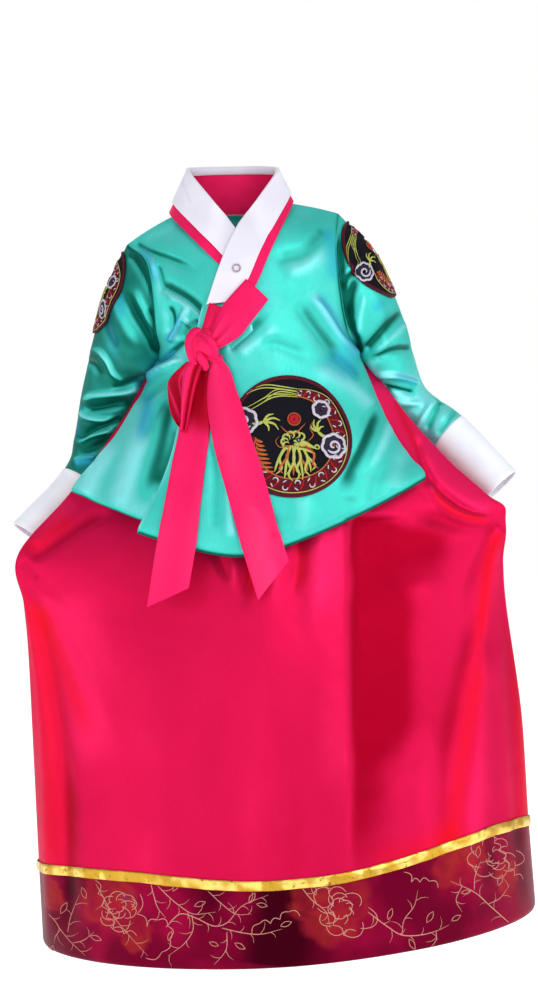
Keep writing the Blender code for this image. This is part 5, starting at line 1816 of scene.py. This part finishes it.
HEM_TWIGS = (
    (1.3, (49, 914), (56, 922), (61, 930), (72, 943), (86, 956)),
    (1, (68, 932), (70, 920), (74, 908), (80, 894)),
    (0.9, (61, 929), (56, 936), (54, 944)),
    (1, (73, 943), (84, 940), (94, 932)),
    (1.1, (96, 884), (104, 898), (112, 914), (128, 934), (148, 956)),
    (1.2, (151, 884), (154, 896), (158, 908), (166, 918)),
    (1.2, (158, 886), (168, 896), (180, 906), (194, 914), (216, 912)),
    (1.3, (166, 927), (180, 914), (196, 918), (214, 926), (228, 922), (242, 906), (268, 895)),
    (1, (208, 891), (222, 904), (236, 914), (252, 914)),
    (1.2, (222, 928), (244, 933), (262, 934), (282, 929)),
    (1, (192, 915), (193, 930), (184, 944), (168, 956)),
    (1, (227, 932), (226, 950), (214, 965)),
    (1.1, (302, 888), (312, 900), (326, 912), (330, 928)),
    (1.3, (368, 912), (388, 927), (402, 935), (420, 935), (436, 931), (449, 925)),
    (1, (402, 935), (404, 920), (414, 906), (418, 890)),
    (1, (436, 931), (436, 940), (430, 948)),
    (1.4, (508, 922), (490, 906), (474, 892), (450, 881)),
    (1.1, (474, 890), (475, 876), (481, 860)),
    (1, (488, 904), (500, 898), (510, 884)),
    (1, (462, 886), (456, 900), (462, 912)),
)
HEM_LEAVES = (
    # middle, length in squares and turn in degrees
    (64, 908, 13, 300), (84, 893, 12, 250), (96, 938, 12, 20), (52, 950, 10, 110), (176, 886, 12, 300),
    (200, 904, 12, 340), (170, 936, 10, 110), (252, 898, 12, 300), (262, 905, 11, 10), (240, 946, 12, 30),
    (286, 924, 12, 340), (214, 944, 10, 200), (430, 917, 13, 300), (412, 944, 12, 60), (456, 918, 11, 330),
    (478, 852, 12, 275), (466, 892, 10, 170), (500, 880, 12, 290), (390, 914, 12, 290), (314, 890, 11, 250),
)
HEM_PEONIES = (
    # middle, radius in squares and turn in degrees
    (116, 906, 22, 15), (341, 909, 26, 0), (497, 856, 20, 25),
)
PEONY_SQUASH = 0.84  # how flat the peonies are drawn
HEM_SCALLOPS = (
    # bulge in squares, how many, and the path that they follow
    (4.5, 6, (95, 880), (100, 900), (106, 918), (118, 932), (137, 936)),
    (4.5, 7, (140, 894), (137, 914), (147, 927), (158, 920), (168, 926), (170, 938), (162, 952), (146, 958)),
    (4, 6, (488, 836), (497, 847), (504, 861), (510, 873), (523, 880)),
    (4, 5, (318, 884), (331, 898), (329, 917), (341, 935), (356, 931)),
    (4, 4, (404, 872), (414, 884), (426, 880), (438, 888)),
    (3.5, 5, (252, 934), (262, 922), (276, 924), (286, 912), (300, 916)),
)


def peony_lines(x, y, size, turn):
    """An open peony in broken lines: ring inside ring of scallops, and veins between them."""
    lines = []
    for ring, (share, petals) in enumerate(((1.0, 9), (0.66, 7), (0.34, 5))):
        for petal in range(petals):
            chance = math.sin(12.9 * petal + 78.2 * ring + x) % 1
            if chance < 0.34:
                continue
            first = math.radians(turn + 31 * ring) + 2 * math.pi * petal / petals
            angle = first + spread(-0.1, 0.95 + 0.3 * chance, 9) * 2 * math.pi / petals
            bulge = 1 + (0.14 + 0.22 * chance) * np.sin(np.pi * spread(0, 1, 9))
            reach = size * share * (0.7 + 0.36 * chance) * bulge * spread(1.0, 0.8 + 0.3 * chance, 9)
            lines.append(circled(x, y, reach, angle, PEONY_SQUASH))
    for vein in range(7):
        reach = size * spread(0.3, 0.72 + 0.2 * math.sin(5.3 * vein + y), 6)
        bend = math.radians(turn) + 0.9 * vein + 0.5 * spread(0, 1, 6) ** 2
        lines.append(circled(x, y, reach, bend, PEONY_SQUASH))
    return lines


def scallop_lines(bulge, count, *path):
    """Small arcs side by side along a path."""
    corners = line_through(path, count + 1)
    lines = []
    for first, last in zip(corners[:-1], corners[1:]):
        share = spread(0, 1, 8)[:, None]
        side = np.array((last[1] - first[1], first[0] - last[0]))
        side = side / np.linalg.norm(side)
        lines.append(first + (last - first) * share + bulge * np.sin(np.pi * share) * side)
    return lines


def shoots_beside(line, start):
    """Short curved shoots that leave a twig on alternate sides."""
    lengths = np.concatenate([[0], np.cumsum(np.linalg.norm(np.diff(line, axis=0), axis=1))])
    shoots = []
    for number, far in enumerate(np.arange(6.0, lengths[-1] - 3.0, 10.5)):
        place = min(int(np.searchsorted(lengths, far)), len(line) - 2)
        along = line[place + 1] - line[place]
        turn = math.atan2(along[1], along[0]) + (0.85 if (number + start) % 2 else -0.85)
        reach = 7.0 + 6.0 * (math.sin(3.7 * number + start) % 1)
        bend = turn + (0.5 if (number + start) % 2 else -0.5)
        near = line[place] + 0.55 * reach * np.array((math.cos(turn), math.sin(turn)))
        tip = near + 0.55 * reach * np.array((math.cos(bend), math.sin(bend)))
        shoots.append(line_through((line[place], near, tip), 7))
    return shoots


def leaf_outline(x, y, length, turn):
    share = spread(0, 1, 9)
    along = length * np.concatenate([share, share[::-1]]) - length / 2
    across = 0.2 * length * np.sin(np.pi * share)
    across = np.concatenate([across, -across[::-1]])
    cosine, sine = math.cos(math.radians(turn)), math.sin(math.radians(turn))
    return np.stack([x + along * cosine - across * sine, y + along * sine + across * cosine], axis=-1)


def stitched_hem(grid, name, behind):
    """Twigs, leaves and open peonies in fine metallic thread."""
    threads = Threads()

    def sew(spots, width, start=0.08, end=0.08):
        points, out = seen_on(grid, spots, behind)
        share = spread(0, 1, len(points))
        grown = np.sqrt(np.clip(np.minimum((share + 0.03) / start, (1.03 - share) / end), 0.05, 1))
        half = 0.0005 * width * grown
        threads.lay(points + 0.0002 * out, out, half, 0.7 * half, "glitter", corners=5)

    for number, (width, *path) in enumerate(HEM_TWIGS):
        line = line_through(path, 7 * len(path))
        sew(line, width, 0.1, 0.5)
        for shoot in shoots_beside(line, number):
            sew(shoot, 0.8, 0.1, 0.8)
    for leaf in HEM_LEAVES:
        sew(leaf_outline(*leaf), 0.8)
    for peony in HEM_PEONIES:
        for line in peony_lines(*peony):
            sew(line, 1.0)
    for row in HEM_SCALLOPS:
        for line in scallop_lines(*row):
            sew(line, 1.0)
    threads.make_piece(name, "wine_organza")


# Everything is made and placed.
front_panel("jacket_front_under", UNDER_EDGE, -1, 120, 80, 0.0, under_height, 0.0035)
front_panel("jacket_front_over", OVER_EDGE, 1, 140, 110, OVERLAP, over_height, 0.0085)
back_panel(110, 120)
sleeve("right", right_arm, RIGHT_SLEEVE_FOLDS, 31.0, -4.2, -4.0, 150, 132)
sleeve("left", left_arm, LEFT_SLEEVE_FOLDS, 37.0, -0.4, 3.4, 150, 132)
cuff("right", right_arm, 43.0, 34, 84)
cuff("left", left_arm, 47.0, 34, 84)
collar()
snap()

for which, rows, columns, band_columns in (("front", 200, 150, 150), ("back", 170, 130, 120)):
    skirt_cloth(which, rows, columns)
    hem_band(which, 42, band_columns)
    hem_trim(which, 300)
chest_band()

sew_badge("roundel_front", front, under(*ROUNDEL_CENTRE), ROUNDEL_RADIUS, on_over_front)
sew_badge("roundel_right", right_arm, RIGHT_ROUNDEL_CENTRE, SLEEVE_ROUNDEL_RADIUS,
          on_sleeve(right_arm, RIGHT_SLEEVE_FOLDS, 31.0))
sew_badge("roundel_left", left_arm, LEFT_ROUNDEL_CENTRE, SLEEVE_ROUNDEL_RADIUS,
          on_sleeve(left_arm, LEFT_SLEEVE_FOLDS, 37.0))

ribbon("tie_strap_long", STRAP_LONG, 60, 30, strap_long_relief, 91.0, settled=0.5)
ribbon("tie_strap_short", STRAP_SHORT, 40, 18, strap_short_relief, 93.0, settled=0.5, shade=-2.6)
ribbon("tie_tail_long", TAIL_LONG, 110, 26, tail_long_relief, 97.0)
ribbon("tie_tail_short", TAIL_SHORT, 110, 26, tail_short_relief, 99.0, loop_shadow=7.0)
loop()
knot()


FLOOR = -0.96  # height of the floor, metres
AMBIENT = 0.5  # strength of the light from all round


def make_floor():
    """A plain pale floor, well clear below the hem, because the garment hangs from its wearer's shoulders."""
    turn = 2 * np.pi * np.arange(96) / 96
    points = [(0.0, 0.0, FLOOR)]
    points += [(7.0 * math.cos(angle), 7.0 * math.sin(angle), FLOOR) for angle in turn]
    faces = [(0, 1 + k, 1 + (k + 1) % 96) for k in range(96)]
    mesh = bpy.data.meshes.new("floor")
    mesh.from_pydata(points, [], faces)
    mesh.materials.append(pale_floor("pale floor"))
    placed("floor", mesh)


def make_light(name, place, aim, size, power):
    light = bpy.data.lights.new(name, "AREA")
    light.shape = "DISK"
    light.size = size
    light.energy = power
    lamp = placed(name, light)
    lamp.location = place
    lamp.rotation_euler = (Vector(aim) - Vector(place)).to_track_quat("-Z", "Y").to_euler()


def make_world():
    """White to look at, and a dimmer white to light with."""
    world = bpy.data.worlds.new("studio")
    world.use_nodes = True
    tree = world.node_tree
    background = tree.nodes["Background"]
    background.inputs["Color"].default_value = (1, 1, 1, 1)
    path = tree.nodes.new("ShaderNodeLightPath")
    strength = add(tree, "ShaderNodeMapRange", {
        "Value": path.outputs["Is Camera Ray"], "To Min": AMBIENT, "To Max": 1.0,
    })
    tree.links.new(strength.outputs["Result"], background.inputs["Strength"])
    bpy.context.scene.world = world


def make_camera():
    camera = bpy.data.cameras.new("front view")
    distance = float(np.linalg.norm(CAMERA_AIM - CAMERA_PLACE))
    camera.sensor_width = 36.0
    camera.lens = 36.0 * distance / (VIEW_DOWN * SQUARE)
    eye = placed("front view", camera)
    eye.location = CAMERA_PLACE.tolist()
    eye.rotation_euler = Vector((CAMERA_AIM - CAMERA_PLACE).tolist()).to_track_quat("-Z", "Y").to_euler()
    bpy.context.scene.camera = eye


make_floor()
make_world()
make_light("key", (1.9, -2.7, 1.5), (0.04, 0.0, -0.4), 2.6, 42.0)
make_light("fill", (-0.9, -3.4, 0.4), (0.04, 0.0, -0.4), 3.0, 20.0)
make_light("back", (-0.8, 2.8, 1.6), (0.04, 0.0, -0.4), 2.0, 30.0)
make_light("left side", (2.7, -1.0, 0.0), (0.04, 0.0, -0.4), 2.0, 11.0)
make_light("right side", (-2.6, -1.2, -0.2), (0.04, 0.0, -0.4), 2.0, 11.0)
make_camera()
bpy.context.scene.view_settings.view_transform = "Standard"
